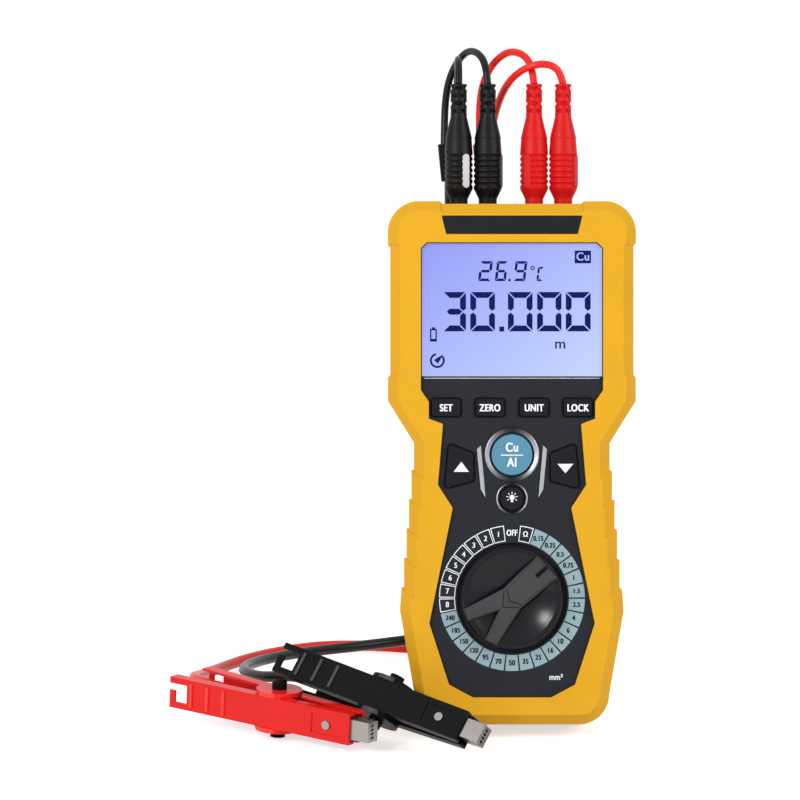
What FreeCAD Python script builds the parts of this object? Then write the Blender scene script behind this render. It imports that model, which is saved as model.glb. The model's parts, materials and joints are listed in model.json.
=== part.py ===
import FreeCAD, Part
import math
import os
import re

import Sketcher
from FreeCAD import Placement, Rotation, Vector

# A hand-held cable length counter: a two-shell case with a display, eight push keys and a
# thirty-way selector, leaning on its tilt stand, with two pairs of plugged-in leads that each
# end in a spring clip. Millimetres; +X right, +Y away from the reader, +Z up; z = 0 is the table.
# The pieces of the meter are drawn in its face frame: x right, y up along the meter,
# z out towards the reader, 0 at the case's front rim.

SIZES = [
    # how the meter stands
    ("lean_angle", 10), ("running_gap", 0.05), ("seat_gap", 0.1), ("play_gap", 0.3),
    # the case's outline, right half, from the foot up
    ("case_height", 230.6), ("foot_half", 29.5), ("heel_radius", 13.3), ("knee_half", 42.9),
    ("knee_rise", 13.2), ("hip_half", 49.3), ("hip_height", 50), ("waist_half", 43.1),
    ("waist_top", 124), ("grip_start", 59.4), ("grip_pitch", 13.1), ("grip_step", 1.1),
    ("grip_slant", 4), ("bumper_half", 54.6), ("bumper_low", 142.5), ("bumper_high", 153),
    ("cheek_half", "=bumper_half - 1"), ("cheek_top", "=case_height - 19.6"),
    ("corner_half", "=bumper_half + 0.1"), ("corner_start", "=case_height - 14.1"),
    ("corner_radius", 14), ("pad_outer", 42.7), ("pad_inner", 31.7), ("top_dip", 1.1),
    ("case_depth", 50), ("front_bevel", 4.4), ("rear_bevel", 7), ("parting_depth", 26),
    ("wall_thick", 2.6),
    # the opening in the front and the face panel in it, right half, from the foot up
    ("panel_sink", 1.5), ("panel_thick", 2.5), ("panel_gap", 0.15), ("ledge_wide", 1.5),
    ("ledge_thick", 2.5), ("face_foot_half", 17.2), ("face_foot", 12.1), ("face_knee_half", 27.7),
    ("face_knee", 17.7), ("face_hip_half", 36.4), ("face_hip", 44.7), ("face_waist_half", 26.1),
    ("face_waist", 95.5), ("face_key_half", 32.6), ("face_key_low", 105.6),
    ("face_neck_half", 30.4), ("face_neck", 132.4), ("face_row_half", 36.6),
    ("face_row_low", 134.8), ("face_row_high", 142.2), ("face_lens_half", 40.1),
    ("face_lens_low", 147.4), ("face_top", "=case_height - 18.2"), ("face_corner", 2.6),
    # display
    ("lens_half", 39.2), ("lens_low", 153.4), ("lens_high", "=case_height - 19"),
    ("lens_thick", 1.2), ("view_half", 38), ("view_low", 154.3),
    ("view_high", "=case_height - 20.2"), ("glass_half", 38.3), ("glass_low", 153.6),
    ("glass_high", "=case_height - 20"), ("glass_thick", 2.6), ("light_thick", 2),
    # name plate
    ("plate_low", "=case_height - 14.6"), ("plate_high", "=case_height - 6.4"),
    ("plate_low_half", 29), ("plate_high_half", 31), ("plate_deep", 0.8),
    # keys
    ("key_travel", 1), ("key_proud", 1.2), ("key_gap", 0.3), ("key_round", 1.2),
    ("flange_wide", 0.7), ("flange_thick", 0.8), ("stem_half", 2), ("mat_thick", 1.2),
    ("row_key_wide", 12.6), ("row_key_high", 7.4), ("row_pitch", 19.35), ("row_height", 139.7),
    ("arrow_inner", 17), ("arrow_outer_top", 27.7), ("arrow_outer_low", 29.5), ("arrow_top", 123.6),
    ("arrow_inner_top", 119.4), ("arrow_inner_low", 107.5), ("arrow_low", 104.2),
    ("metal_key_radius", 9), ("metal_key_height", 118.9), ("light_key_radius", 5.1),
    ("light_key_height", 99.6), ("metal_ring_radius", 12), ("light_ring_radius", 7),
    ("ring_inset", 0.5), ("trim_proud", 0.5), ("trim_sink", 0.6), ("bar_low_x", 11.6),
    ("bar_low_tip", 99.8), ("bar_low_out", 13.8), ("bar_low_y", 103.7), ("bar_top_out", 15.5),
    ("bar_top_y", 121.2), ("bar_top_x", 13.7), ("bar_top_tip", 123.1),
    # selector
    ("dial_height", 55.8), ("dial_rest", 48), ("well_radius", 24.3), ("well_wall", 1.2),
    ("well_floor", 1.4), ("knob_radius", 22.2), ("knob_rim", 2.8), ("knob_rim_wide", 1.8),
    ("dish_deep", 4), ("handle_rise", 5.2), ("handle_tip_half", 6.4), ("handle_tip", 20.8),
    ("handle_waist_half", 5.7), ("handle_waist", 0.3), ("leg_outer", 10.7), ("leg_outer_end", 19.1),
    ("leg_inner", 5.6), ("leg_inner_end", 21.1), ("crotch_drop", 7.8), ("handle_bevel", 0.7),
    ("mark_long", 6.5), ("mark_half", 1.1), ("mark_deep", 0.6), ("shaft_radius", 4),
    ("wafer_radius", 13), ("wafer_thick", 2), ("notch_radius", 0.6), ("notch_count", 30),
    ("shaft_tail", 0.6), ("facet_rise", 0.4), ("detent_long", 6), ("detent_wide", 6),
    # inside
    ("board_depth", 10.4), ("board_thick", 1.6), ("board_low", 24),
    ("board_high", "=case_height - 24.6"), ("board_low_half", 32.4),
    ("board_high_half", "=bumper_half - 5.6"), ("board_step", 131), ("boss_radius", 3.4),
    ("pilot_radius", 1.5), ("high_boss_x", "=bumper_half - 12.1"),
    ("high_boss_y", "=case_height - 32.6"), ("low_boss_x", 36.5), ("low_boss_y", 40),
    ("screw_radius", 1.45), ("screw_head", 2.8), ("screw_seat", 6),
    ("case_screw_long", 16), ("cover_screw_long", 7),
    # battery compartment and tilt stand
    ("cell_radius", 7.2), ("cell_long", 49.5), ("cell_cap", 1.2), ("cell_pitch", 14.9),
    ("box_half", 15.3), ("box_low", 18), ("box_high", 124), ("box_wall", 1.6), ("cover_thick", 2.4),
    ("cover_rim", 2.5), ("cover_tab", 9), ("niche_half", 25.6), ("niche_deep", 4.6),
    ("stand_height", 135), ("stand_half", 25), ("stand_thick", 3.2), ("stand_pin", 1.6),
    ("stand_barrel", 2.1), ("stand_short", 1.5), ("stand_foot", 2.1), ("stand_panel_deep", 1),
    ("stand_taper", 4), ("niche_top", 141),
    # sockets and plugs
    ("socket_inner", 10.3), ("socket_outer", 23.2), ("socket_radius", 4.15), ("block_half", 30),
    ("block_deep", 17), ("block_low", "=case_height - 23.6"), ("block_base", 4),
    ("block_sink", 0.4), ("sleeve_long", 19), ("sleeve_outer", 2.6), ("sleeve_inner", 2.05),
    ("pin_radius", 2), ("shroud_radius", 4.05), ("shroud_inner", 2.8),
    ("shroud_low", "=case_height - 18.6"), ("shroud_floor", "=case_height - 0.6"),
    ("pin_low", "=case_height - 17.6"), ("pin_top", "=case_height + 9.4"),
    ("collar_top", "=case_height + 1.7"), ("flare_top", "=case_height + 6.2"),
    ("grip_radius", 6.25), ("grip_top", "=case_height + 21.9"),
    ("shoulder_top", "=case_height + 29.9"), ("cone_top", "=case_height + 38.2"),
    ("relief_radius", 3.65), ("relief_top", "=case_height + 52.8"), ("rib_pitch", 2.5),
    ("rib_deep", 0.6), ("segment_pitch", 3.4), ("segment_deep", 0.9),
    # leads
    ("wire_thick", 3.3), ("lead_thick", 5), ("boot_wide", 11), ("boot_deep", 7.4),
    ("boot_long", 16.7), ("boot_taper", 1.6), ("boot_top", "=case_height + 27.4"),
    ("boot_depth", 58), ("black_boot_x", -26.8), ("red_boot_x", -11), ("coil_radius", 29),
    ("coil_back", 100), ("coil_aside", 6), ("lead_turns", 2),
    # clips
    ("arm_long", 97), ("arm_half", 7), ("arm_wall", 1.2), ("arm_deep", 5.5), ("arm_nose", 4.4),
    ("arm_straight", 62), ("hook_start", 2.8), ("hook_end", 9.3), ("hook_half", 4.2),
    ("slit_low", 1), ("rib_start", 11.2), ("rib_step", 8.8), ("rib_half", 5.4), ("rib_wide", 1.3),
    ("rib_rise", 0.8), ("tongue_start", 77), ("tongue_end", 92), ("tongue_half", 4.4),
    ("tongue_sink", 0.5), ("rivet_place", 84.7), ("rivet_radius", 2), ("pivot_place", 53),
    ("pivot_deep", 9.2), ("pivot_radius", 2), ("ear_radius", 10.2), ("ear_thick", 2),
    ("inner_ear_radius", 6.8), ("pin_head", 3.4), ("pin_head_radius", 3.3), ("jaw_start", 78),
    ("jaw_tip", 106.5), ("jaw_half", 4.5), ("jaw_plate", 0.8), ("tooth_deep", 1.3),
    ("bite_gap", 0.3), ("coil_outer", 4.8), ("coil_inner", 3), ("spring_half", 3.2),
    ("spring_wire", 1.1), ("spring_leg", 12), ("red_clip_x", -151.8), ("red_clip_y", -10.8),
    ("red_clip_z", 15.3), ("red_heading", -34.2), ("red_dip", 2.8), ("black_clip_x", -102.9),
    ("black_clip_y", -26.7), ("black_clip_z", 35.1), ("black_heading", -32), ("black_dip", 11.7),
    ("black_roll", -35),
]

doc = FreeCAD.newDocument("CableLengthCounter")
sheet = doc.addObject("Spreadsheet::Sheet", "Sizes")
for row, (alias, number) in enumerate(SIZES, start=1):
    sheet.set("A%d" % row, alias)
    sheet.set("B%d" % row, str(number))
    sheet.setAlias("B%d" % row, alias)
doc.recompute()

nodes = []      # the sub-parts, in the order they are made


def bind(text):
    """An expression for a document object: each size's name gets the sheet's name."""
    return re.sub(r"\b([a-z]+_[a-z_]+)\b", r"Sizes.\1", str(text))


def value(text):
    """The number that an expression of sizes gives."""
    return float(sheet.evalExpression(str(text)))


def minus(text):
    return "-(%s)" % text


# ---------------------------------------------------------------- PartDesign helpers

def body(label):
    made = doc.addObject("PartDesign::Body", label)
    made.Label = label
    nodes.append(made)
    return made


def sketch(owner, name, height="0", role="XY_Plane"):
    """A sketch on one of the body's own origin planes, raised by an expression."""
    plane = [item for item in owner.Origin.OriginFeatures if item.Role == role][0]
    made = owner.newObject("Sketcher::SketchObject", name)
    made.AttachmentSupport = [(plane, "")]
    made.MapMode = "FlatFace"
    made.setExpression("AttachmentOffset.Base.z", bind(height))
    return made


def place_point(drawn, geometry, position, x, y):
    for kind, text in (("DistanceX", x), ("DistanceY", y)):
        rule = Sketcher.Constraint(kind, -1, 1, geometry, position, value(text))
        drawn.setExpression("Constraints[%d]" % drawn.addConstraint(rule), bind(text))


def outline(drawn, points):
    """A closed outline of corners (x, y), or (x, y, radius) where an arc leaves the corner."""
    spots = [Vector(value(point[0]), value(point[1]), 0) for point in points]
    first = drawn.GeometryCount
    count = len(points)
    for index, point in enumerate(points):
        start, end = spots[index], spots[(index + 1) % count]
        if len(point) == 2:
            drawn.addGeometry(Part.LineSegment(start, end), False)
            continue
        chord = end - start
        middle = (start + end) / 2
        inward = Vector(-chord.y, chord.x, 0).normalize()
        centre = middle + inward * math.sqrt(value(point[2]) ** 2 - (chord.Length / 2) ** 2)
        drawn.addGeometry(Part.Arc(start, centre - inward * value(point[2]), end), False)
    for index in range(count):
        following = first + (index + 1) % count
        drawn.addConstraint(Sketcher.Constraint("Coincident", first + index, 2, following, 1))
    for index, point in enumerate(points):
        place_point(drawn, first + index, 1, point[0], point[1])
        if len(point) == 3:
            rule = Sketcher.Constraint("Radius", first + index, value(point[2]))
            drawn.setExpression("Constraints[%d]" % drawn.addConstraint(rule), bind(point[2]))
    return drawn


def mirrored(half):
    """The whole outline of a right half that runs from the foot up."""
    whole = list(half)
    for index in range(len(half) - 1, -1, -1):
        point = (minus(half[index][0]), half[index][1])
        if index and len(half[index - 1]) == 3:
            point += (half[index - 1][2],)
        whole.append(point)
    return whole


def rectangle(drawn, left, low, right, high):
    return outline(drawn, [(left, low), (right, low), (right, high), (left, high)])


def circle(drawn, x, y, radius):
    number = drawn.addGeometry(
        Part.Circle(Vector(value(x), value(y), 0), Vector(0, 0, 1), value(radius)), False)
    place_point(drawn, number, 3, x, y)
    rule = Sketcher.Constraint("Radius", number, value(radius))
    drawn.setExpression("Constraints[%d]" % drawn.addConstraint(rule), bind(radius))
    return drawn


def pad(owner, drawn, length, up=False):
    """Material from the sketch downwards, or upwards."""
    made = owner.newObject("PartDesign::Pad", drawn.Name + "_pad")
    made.Profile = drawn
    made.setExpression("Length", bind(length))
    made.Reversed = not up
    doc.recompute()
    return made


def pocket(owner, drawn, depth, up=False):
    """A cut from the sketch downwards, or upwards; the volume shows that it cut something."""
    before = owner.Shape.Volume
    made = owner.newObject("PartDesign::Pocket", drawn.Name + "_cut")
    made.Profile = drawn
    made.setExpression("Length", bind(depth))
    made.Reversed = up
    doc.recompute()
    if not owner.Shape.Volume < before:
        raise RuntimeError("%s cuts nothing" % made.Name)
    return made


def turned(owner, drawn, cut=False):
    """A full turn of the sketch about its own upright axis."""
    kind = "Groove" if cut else "Revolution"
    made = owner.newObject("PartDesign::" + kind, drawn.Name + "_turned")
    made.Profile = drawn
    made.ReferenceAxis = (drawn, ["V_Axis"])
    made.Angle = 360
    doc.recompute()
    return made


def dressed(owner, kind, name, chosen, size):
    """A Fillet or a Chamfer of the tip's edges for which chosen(edge) is true."""
    tip = owner.Tip
    edges = ["Edge%d" % (number + 1) for number, edge in enumerate(tip.Shape.Edges)
             if chosen(edge)]
    made = owner.newObject("PartDesign::" + kind, name)
    made.Base = (tip, edges)
    made.setExpression("Radius" if kind == "Fillet" else "Size", bind(size))
    doc.recompute()
    return made


def upright(edge):
    """True for a straight edge along the body's own z."""
    ends = [vertex.Point for vertex in edge.Vertexes]
    if len(ends) != 2 or edge.Curve.TypeId != "Part::GeomLine":
        return False
    run = ends[1] - ends[0]
    return abs(run.x) + abs(run.y) < 1e-6


def level(height):
    """A test for edges that lie at one height of the body's own z."""
    return lambda edge: abs(edge.BoundBox.ZMin - height) + abs(edge.BoundBox.ZMax - height) < 1e-4


# ---------------------------------------------------------------- Part helpers

def cylinder(name, radius, height, place):
    made = doc.addObject("Part::Cylinder", name)
    made.setExpression("Radius", bind(radius))
    made.setExpression("Height", bind(height))
    made.Placement = place
    return made


def box(name, length, width, height, place):
    made = doc.addObject("Part::Box", name)
    made.setExpression("Length", bind(length))
    made.setExpression("Width", bind(width))
    made.setExpression("Height", bind(height))
    made.Placement = place
    return made


def joined(label, kind, pieces):
    """A Part::Compound or Part::MultiFuse of pieces, as a sub-part."""
    made = doc.addObject("Part::" + kind, label)
    made.Label = label
    if kind == "Compound":
        made.Links = pieces
    else:
        made.Shapes = pieces
    nodes.append(made)
    return made


def tube(outer, inner):
    made = doc.addObject("Part::Cut", outer.Name + "_bored")
    made.Base, made.Tool = outer, inner
    return made


def at(x, y, z=0, rotation=Rotation()):
    return Placement(Vector(x, y, z), rotation)


ALONG_X = Rotation(Vector(0, 1, 0), 90)
ALONG_Y = Rotation(Vector(1, 0, 0), -90)

# ---------------------------------------------------------------- where the meter stands

lean = math.radians(value("lean_angle"))
contact_depth = value("case_depth - rear_bevel")
lift = contact_depth * math.sin(lean)
stand_depth = value("case_depth - niche_deep + play_gap + stand_barrel")
foot_reach = value("stand_height - stand_short - stand_foot")
hinge_rise = value("stand_height") * math.cos(lean) - stand_depth * math.sin(lean) + lift
splay = math.acos((hinge_rise - value("stand_foot")) / foot_reach)
stand_angle = math.degrees(splay + lean)
foot_back = (stand_depth * math.cos(lean) + value("stand_height") * math.sin(lean)
             + foot_reach * math.sin(splay) + value("stand_foot"))
top_back = (value("case_depth") * math.cos(lean)
            + value("case_height - rear_bevel") * math.sin(lean))
front_edge = value("front_bevel") * math.sin(lean)
shift = -(front_edge + max(foot_back, top_back)) / 2
contact = contact_depth * math.cos(lean) + shift      # y of the line on which the case stands

METER = Placement(Vector(0, shift, lift), Rotation(Vector(1, 0, 0), 90 - value("lean_angle")))


def on_meter(x=0, y=0, depth=0, rotation=Rotation()):
    return METER * Placement(Vector(x, y, -depth), rotation)


# depths behind the front rim that several pieces share
FACE_BACK = "panel_sink + panel_thick"
LEDGE_BACK = "(panel_sink + panel_thick + ledge_thick)"
WELL_BACK = "panel_sink + panel_thick + well_floor"
MAT_DEPTH = "(board_depth - mat_thick - seat_gap)"
BOX_DEPTH = "(case_depth - niche_deep - cover_thick - 2 * cell_radius - 2 * play_gap)"
STAND_DEPTH = "(case_depth - niche_deep + play_gap + stand_barrel)"
FOOT_RUN = "(stand_height - stand_short - stand_foot)"
SOCKETS = ("-socket_outer", "-socket_inner", "socket_inner", "socket_outer")
KNOB = on_meter(0, value("dial_height"), 0, Rotation(Vector(0, 0, 1), -value("dial_rest")))

# ---------------------------------------------------------------- case

def case_outline(inset, slant):
    """The case's outline, drawn in by an inset, with the grip steps moved down by a slant."""
    half = [("foot_half", inset, "heel_radius - " + inset),
            ("knee_half - " + inset, "knee_rise"), ("hip_half - " + inset, "hip_height")]
    steps = 5
    for step in range(steps):
        rise = "grip_start + %d * grip_pitch - %s" % (step, slant)
        for ring in (steps - step, steps - step - 1):
            half.append(("waist_half + %d * grip_step - %s" % (ring, inset), rise))
    half += [("waist_half - " + inset, "waist_top"), ("bumper_half - " + inset, "bumper_low"),
             ("bumper_half - " + inset, "bumper_high"),
             ("cheek_half - " + inset, "bumper_high + bumper_half - cheek_half"),
             ("cheek_half - " + inset, "cheek_top"),
             ("corner_half - " + inset, "cheek_top + corner_half - cheek_half"),
             ("corner_half - " + inset, "corner_start", "corner_radius - " + inset),
             ("pad_outer", "case_height - " + inset), ("pad_inner", "case_height - " + inset),
             ("pad_inner - top_dip", "case_height - top_dip - " + inset)]
    return mirrored(half)


def cavity_outline():
    return mirrored([
        ("foot_half", "wall_thick", "heel_radius - wall_thick"),
        ("knee_half - wall_thick", "knee_rise"),
        ("hip_half - wall_thick - grip_step", "hip_height"),
        ("waist_half - wall_thick", "grip_start + 4 * grip_pitch"),
        ("waist_half - wall_thick", "waist_top"),
        ("bumper_half - 2 * wall_thick", "bumper_low"),
        ("cheek_half - wall_thick", "bumper_high"),
        ("cheek_half - wall_thick", "corner_start - wall_thick"),
        ("pad_outer - wall_thick", "case_height - 2 * wall_thick"),
        ("pad_inner", "case_height - top_dip - 2 * wall_thick")])


def face_outline(gap, ledge="0"):
    """The face opening, drawn in by a gap, and by a ledge everywhere but beside the key row."""
    return mirrored([
        ("face_foot_half", "face_foot + %s + %s" % (gap, ledge)),
        ("face_knee_half - %s - %s" % (gap, ledge), "face_knee + %s + %s" % (gap, ledge)),
        ("face_hip_half - %s - %s" % (gap, ledge), "face_hip"),
        ("face_waist_half - %s - %s" % (gap, ledge), "face_waist"),
        ("face_key_half - %s - %s" % (gap, ledge), "face_key_low"),
        ("face_neck_half - %s - %s" % (gap, ledge), "face_neck"),
        ("face_row_half - " + gap, "face_row_low + " + gap),
        ("face_row_half - " + gap, "face_row_high"),
        ("face_lens_half - %s - %s" % (gap, ledge), "face_lens_low"),
        ("face_lens_half - %s - %s" % (gap, ledge), "face_top - face_corner"),
        ("face_lens_half - face_corner - %s - %s" % (gap, ledge), "face_top - %s - %s" % (gap, ledge))])


def boss_spots():
    return [(side + "high_boss_x", "high_boss_y") for side in ("", "-")] + [
        (side + "low_boss_x", "low_boss_y") for side in ("", "-")]


def socket_gap(made, name, height, up):
    """The notch in a shell's top wall that takes its half of the socket block."""
    notch = sketch(made, name, height)
    rectangle(notch, "-block_half - seat_gap", "block_low - wall_thick",
              "block_half + seat_gap", "case_height + 1")
    pocket(made, notch, "block_deep / 2 + seat_gap", up)


def posts(made, name, height, radius, length, up):
    """The four screw bosses of a shell."""
    drawn = sketch(made, name, height)
    for x, y in boss_spots():
        circle(drawn, x, y, radius)
    return pad(made, drawn, length, up)


def holes(made, name, height, radius, depth, up):
    drawn = sketch(made, name, height)
    for x, y in boss_spots():
        circle(drawn, x, y, radius)
    return pocket(made, drawn, depth, up)


def front_case():
    made = body("front_case")
    rim = outline(sketch(made, "case_rim", "-front_bevel"), case_outline("0", "0"))
    pad(made, rim, "parting_depth - front_bevel")
    front = outline(sketch(made, "case_front"), case_outline("front_bevel", "grip_slant"))
    bevel = made.newObject("PartDesign::AdditiveLoft", "front_bevel_loft")
    bevel.Profile, bevel.Sections, bevel.Ruled = rim, [front], True
    doc.recompute()
    hollow = outline(sketch(made, "front_hollow", "-parting_depth"), cavity_outline())
    pocket(made, hollow, "parting_depth - " + LEDGE_BACK, up=True)
    pocket(made, outline(sketch(made, "face_opening"), face_outline("0")), FACE_BACK)
    ledge = outline(sketch(made, "face_ledge", minus(FACE_BACK)), face_outline("0", "ledge_wide"))
    pocket(made, ledge, "ledge_thick + 1")
    pocket(made, outline(sketch(made, "plate_recess"), plate_outline("0")), "plate_deep")
    socket_gap(made, "front_socket_gap", "-parting_depth", up=True)
    posts(made, "front_posts", "-parting_depth", "boss_radius",
          "parting_depth - %s + 1" % LEDGE_BACK, True)
    holes(made, "front_pilots", "-parting_depth", "pilot_radius", "parting_depth - board_depth", True)
    made.Placement = METER


def rear_case():
    """The rear shell, with the battery box, the stand's niche and the screw bosses."""
    made = body("rear_case")
    edge = outline(sketch(made, "rear_edge", "rear_bevel - case_depth"), case_outline("0", "0"))
    pad(made, edge, "case_depth - rear_bevel - parting_depth - seat_gap", up=True)
    back = outline(sketch(made, "rear_back", "-case_depth"), case_outline("rear_bevel", "0"))
    bevel = made.newObject("PartDesign::AdditiveLoft", "rear_bevel_loft")
    bevel.Profile, bevel.Sections, bevel.Ruled = edge, [back], True
    doc.recompute()
    hollow = outline(sketch(made, "rear_hollow", "-parting_depth - seat_gap"), cavity_outline())
    pocket(made, hollow, "case_depth - rear_bevel - parting_depth - seat_gap")
    inner = "rear_bevel - case_depth"
    battery_box = sketch(made, "battery_box", inner)
    rectangle(battery_box, "-box_half - box_wall", "box_low - box_wall",
              "box_half + box_wall", "box_high + box_wall")
    pad(made, battery_box, "case_depth - rear_bevel - %s + box_wall" % BOX_DEPTH, up=True)
    thick_floor = sketch(made, "battery_floor", inner)
    rectangle(thick_floor, "-box_half - cover_rim - box_wall", "box_low - cover_rim - box_wall",
              "box_half + cover_rim + box_wall", "box_high + cover_tab + box_wall")
    pad(made, thick_floor, "box_wall", up=True)
    cover_post = circle(sketch(made, "cover_post", inner), "0", "box_high + cover_tab / 2",
                        "boss_radius")
    pad(made, cover_post, "boss_radius * 3", up=True)
    posts(made, "rear_posts", inner, "boss_radius + box_wall / 2",
          "case_depth - rear_bevel - parting_depth - seat_gap", True)
    niche = sketch(made, "stand_niche", "-case_depth")
    rectangle(niche, "-niche_half", "-1", "niche_half", "niche_top")
    pocket(made, niche, "niche_deep", up=True)
    floor = "niche_deep - case_depth"
    rebate = sketch(made, "cover_rebate", floor)
    rectangle(rebate, "-box_half - cover_rim", "box_low - cover_rim",
              "box_half + cover_rim", "box_high + cover_tab")
    pocket(made, rebate, "cover_thick", up=True)
    well = sketch(made, "cell_well", floor)
    rectangle(well, "-box_half", "box_low", "box_half", "box_high")
    pocket(made, well, "case_depth - niche_deep - " + BOX_DEPTH, up=True)
    pilot = circle(sketch(made, "cover_pilot", floor), "0", "box_high + cover_tab / 2", "pilot_radius")
    pocket(made, pilot, "cover_thick + boss_radius * 2", up=True)
    holes(made, "screw_holes", "-case_depth", "pilot_radius + seat_gap", "case_depth", True)
    holes(made, "screw_wells", "-case_depth", "screw_head + play_gap",
          "case_depth - parting_depth - screw_seat", True)
    socket_gap(made, "rear_socket_gap", "-parting_depth - seat_gap", up=False)
    bearing = sketch(made, "stand_bearing", "niche_half + stand_pin * 2", role="YZ_Plane")
    circle(bearing, "stand_height", minus(STAND_DEPTH), "stand_pin + running_gap")
    pocket(made, bearing, "2 * niche_half + stand_pin * 4")
    made.Placement = METER


def plate_outline(gap):
    return mirrored([("plate_low_half - " + gap, "plate_low + " + gap),
                     ("plate_high_half - " + gap, "plate_high - " + gap)])


def plain_plate(label, points, height, thick):
    """A flat plate of one outline, from a height downwards."""
    made = body(label)
    pad(made, outline(sketch(made, label + "_shape", height), points), thick)
    made.Placement = METER
    return made


def rounded(left, low, right, high, radius):
    """A rectangle with round corners."""
    return [("%s + %s" % (left, radius), low), ("%s - %s" % (right, radius), low, radius),
            (right, "%s + %s" % (low, radius)), (right, "%s - %s" % (high, radius), radius),
            ("%s - %s" % (right, radius), high), ("%s + %s" % (left, radius), high, radius),
            (left, "%s - %s" % (high, radius)), (left, "%s + %s" % (low, radius), radius)]


def lens_outline(gap):
    return mirrored([("lens_half - " + gap, "lens_low + " + gap),
                     ("lens_half - " + gap, "lens_high - face_corner"),
                     ("lens_half - face_corner - " + gap, "lens_high - " + gap)])


def row_key_outline(number, grow, flange="0"):
    """One key of the row, in the meter's face frame, grown by a gap and at its ends by a flange."""
    middle = "row_pitch * %s" % (number - 2.5)
    side = "row_key_wide / 2 + %s + %s" % (grow, flange)
    rise = "row_key_high / 2 + %s" % grow
    return rounded("%s - (%s)" % (middle, side), "row_height - (%s)" % rise,
                   "%s + %s" % (middle, side), "row_height + %s" % rise, "key_round")


def arrow_key_outline(side, grow, flange="0"):
    """The left or right arrow key; its flange reaches inwards only."""
    points = [("arrow_inner - %s - %s" % (grow, flange), "arrow_inner_low - " + grow),
              ("arrow_outer_low + " + grow, "arrow_low - 1.3 * " + grow),
              ("arrow_outer_top + " + grow, "arrow_top + 1.3 * " + grow),
              ("arrow_inner - %s - %s" % (grow, flange), "arrow_inner_top + " + grow)]
    if side == "right":
        return points
    return [(minus(x), y) for x, y in reversed(points)]


def arrow_corner(edge):
    """True for an upright edge of an arrow key's hole in the face panel."""
    x, y = abs(edge.BoundBox.Center.x), edge.BoundBox.Center.y
    room = value("2 * key_gap")
    return (upright(edge) and value("arrow_inner") - room < x < value("arrow_outer_low") + room
            and value("arrow_low") - room < y < value("arrow_top") + room)


def face_panel():
    """The dark face: the dial's well, the keys' holes, the lens's seat and the trims' recesses."""
    made = body("face_panel")
    top = "-panel_sink"
    pad(made, outline(sketch(made, "face_shape", top), face_outline("panel_gap")), "panel_thick")
    well_back = circle(sketch(made, "well_back", minus(FACE_BACK)), "0", "dial_height",
                       "well_radius + well_wall")
    pad(made, well_back, "well_floor")
    well = circle(sketch(made, "dial_well", top), "0", "dial_height", "well_radius")
    pocket(made, well, "panel_thick")
    bush = circle(sketch(made, "dial_bush", minus(FACE_BACK)), "0", "dial_height",
                  "shaft_radius + running_gap")
    pocket(made, bush, "well_floor")
    pocket(made, outline(sketch(made, "lens_seat", top), lens_outline("-seat_gap")), "lens_thick")
    view = sketch(made, "view_hole", top)
    rectangle(view, "-view_half", "view_low", "view_half", "view_high")
    pocket(made, view, "panel_thick")
    key_holes = sketch(made, "key_holes", top)
    for number in range(1, 5):
        outline(key_holes, row_key_outline(number, "key_gap"))
    for side in ("left", "right"):
        outline(key_holes, arrow_key_outline(side, "key_gap"))
    for name in ("metal", "light"):
        circle(key_holes, "0", name + "_key_height", name + "_key_radius + key_gap")
    pocket(made, key_holes, "panel_thick")
    dressed(made, "Fillet", "arrow_hole_corners", arrow_corner, "key_round + key_gap")
    for name in ("metal", "light"):
        seat = circle(sketch(made, name + "_ring_seat", top), "0", name + "_key_height",
                      name + "_ring_radius + seat_gap")
        pocket(made, seat, "trim_sink")
    bars = sketch(made, "bar_seats", top)
    for side in ("left", "right"):
        outline(bars, bar_outline(side, "seat_gap"))
    pocket(made, bars, "trim_sink")
    made.Placement = METER


def bar_outline(side, grow):
    points = [("bar_low_x", "bar_low_tip - " + grow), ("bar_low_out + " + grow, "bar_low_y"),
              ("bar_top_out + " + grow, "bar_top_y"), ("bar_top_x - " + grow, "bar_top_tip + " + grow)]
    if side == "right":
        return points
    return [(minus(x), y) for x, y in reversed(points)]


def accent_bar(side):
    plain_plate("accent_bar_" + side, bar_outline(side, "0"),
                "trim_proud - panel_sink", "trim_proud + trim_sink - running_gap")


def trim_ring(name):
    """A silver ring round a round key, sloping down towards the key."""
    made = body(name + "_key_ring")
    inner = "%s_key_radius + key_gap + ring_inset" % name
    outer = name + "_ring_radius"
    low = "running_gap - trim_sink"
    section = outline(sketch(made, name + "_ring_section", role="XZ_Plane"), [
        (inner, low), (outer, low), (outer, "trim_proud - ring_inset / 2"),
        (outer + " - ring_inset", "trim_proud"), (inner, "0")])
    turned(made, section)
    made.Placement = on_meter(0, value(name + "_key_height"), value("panel_sink"))


def key(label, cap, flange, stem_x, stem_y):
    """A push key: cap through the panel, flange behind it, stem down to just above the mat."""
    made = body(label)
    pad(made, draw(made, label + "_cap", "key_proud - panel_sink", cap),
        "key_proud + panel_thick + seat_gap")
    if label in ("up_key", "down_key"):
        dressed(made, "Fillet", label + "_corners", upright, "key_round")
    pad(made, draw(made, label + "_flange", "-(%s) - seat_gap" % FACE_BACK, flange), "flange_thick")
    stem = circle(sketch(made, label + "_stem", "-(%s) - seat_gap - flange_thick" % FACE_BACK),
                  stem_x, stem_y, "stem_half")
    pad(made, stem, "%s - key_travel - 2 * seat_gap - flange_thick - (%s)" % (MAT_DEPTH, FACE_BACK))
    made.Placement = METER


def draw(owner, name, height, shape):
    """A sketch of an outline's points, or of a circle given as (x, y, radius) in a tuple."""
    drawn = sketch(owner, name, height)
    return circle(drawn, *shape) if isinstance(shape, tuple) else outline(drawn, shape)


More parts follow.
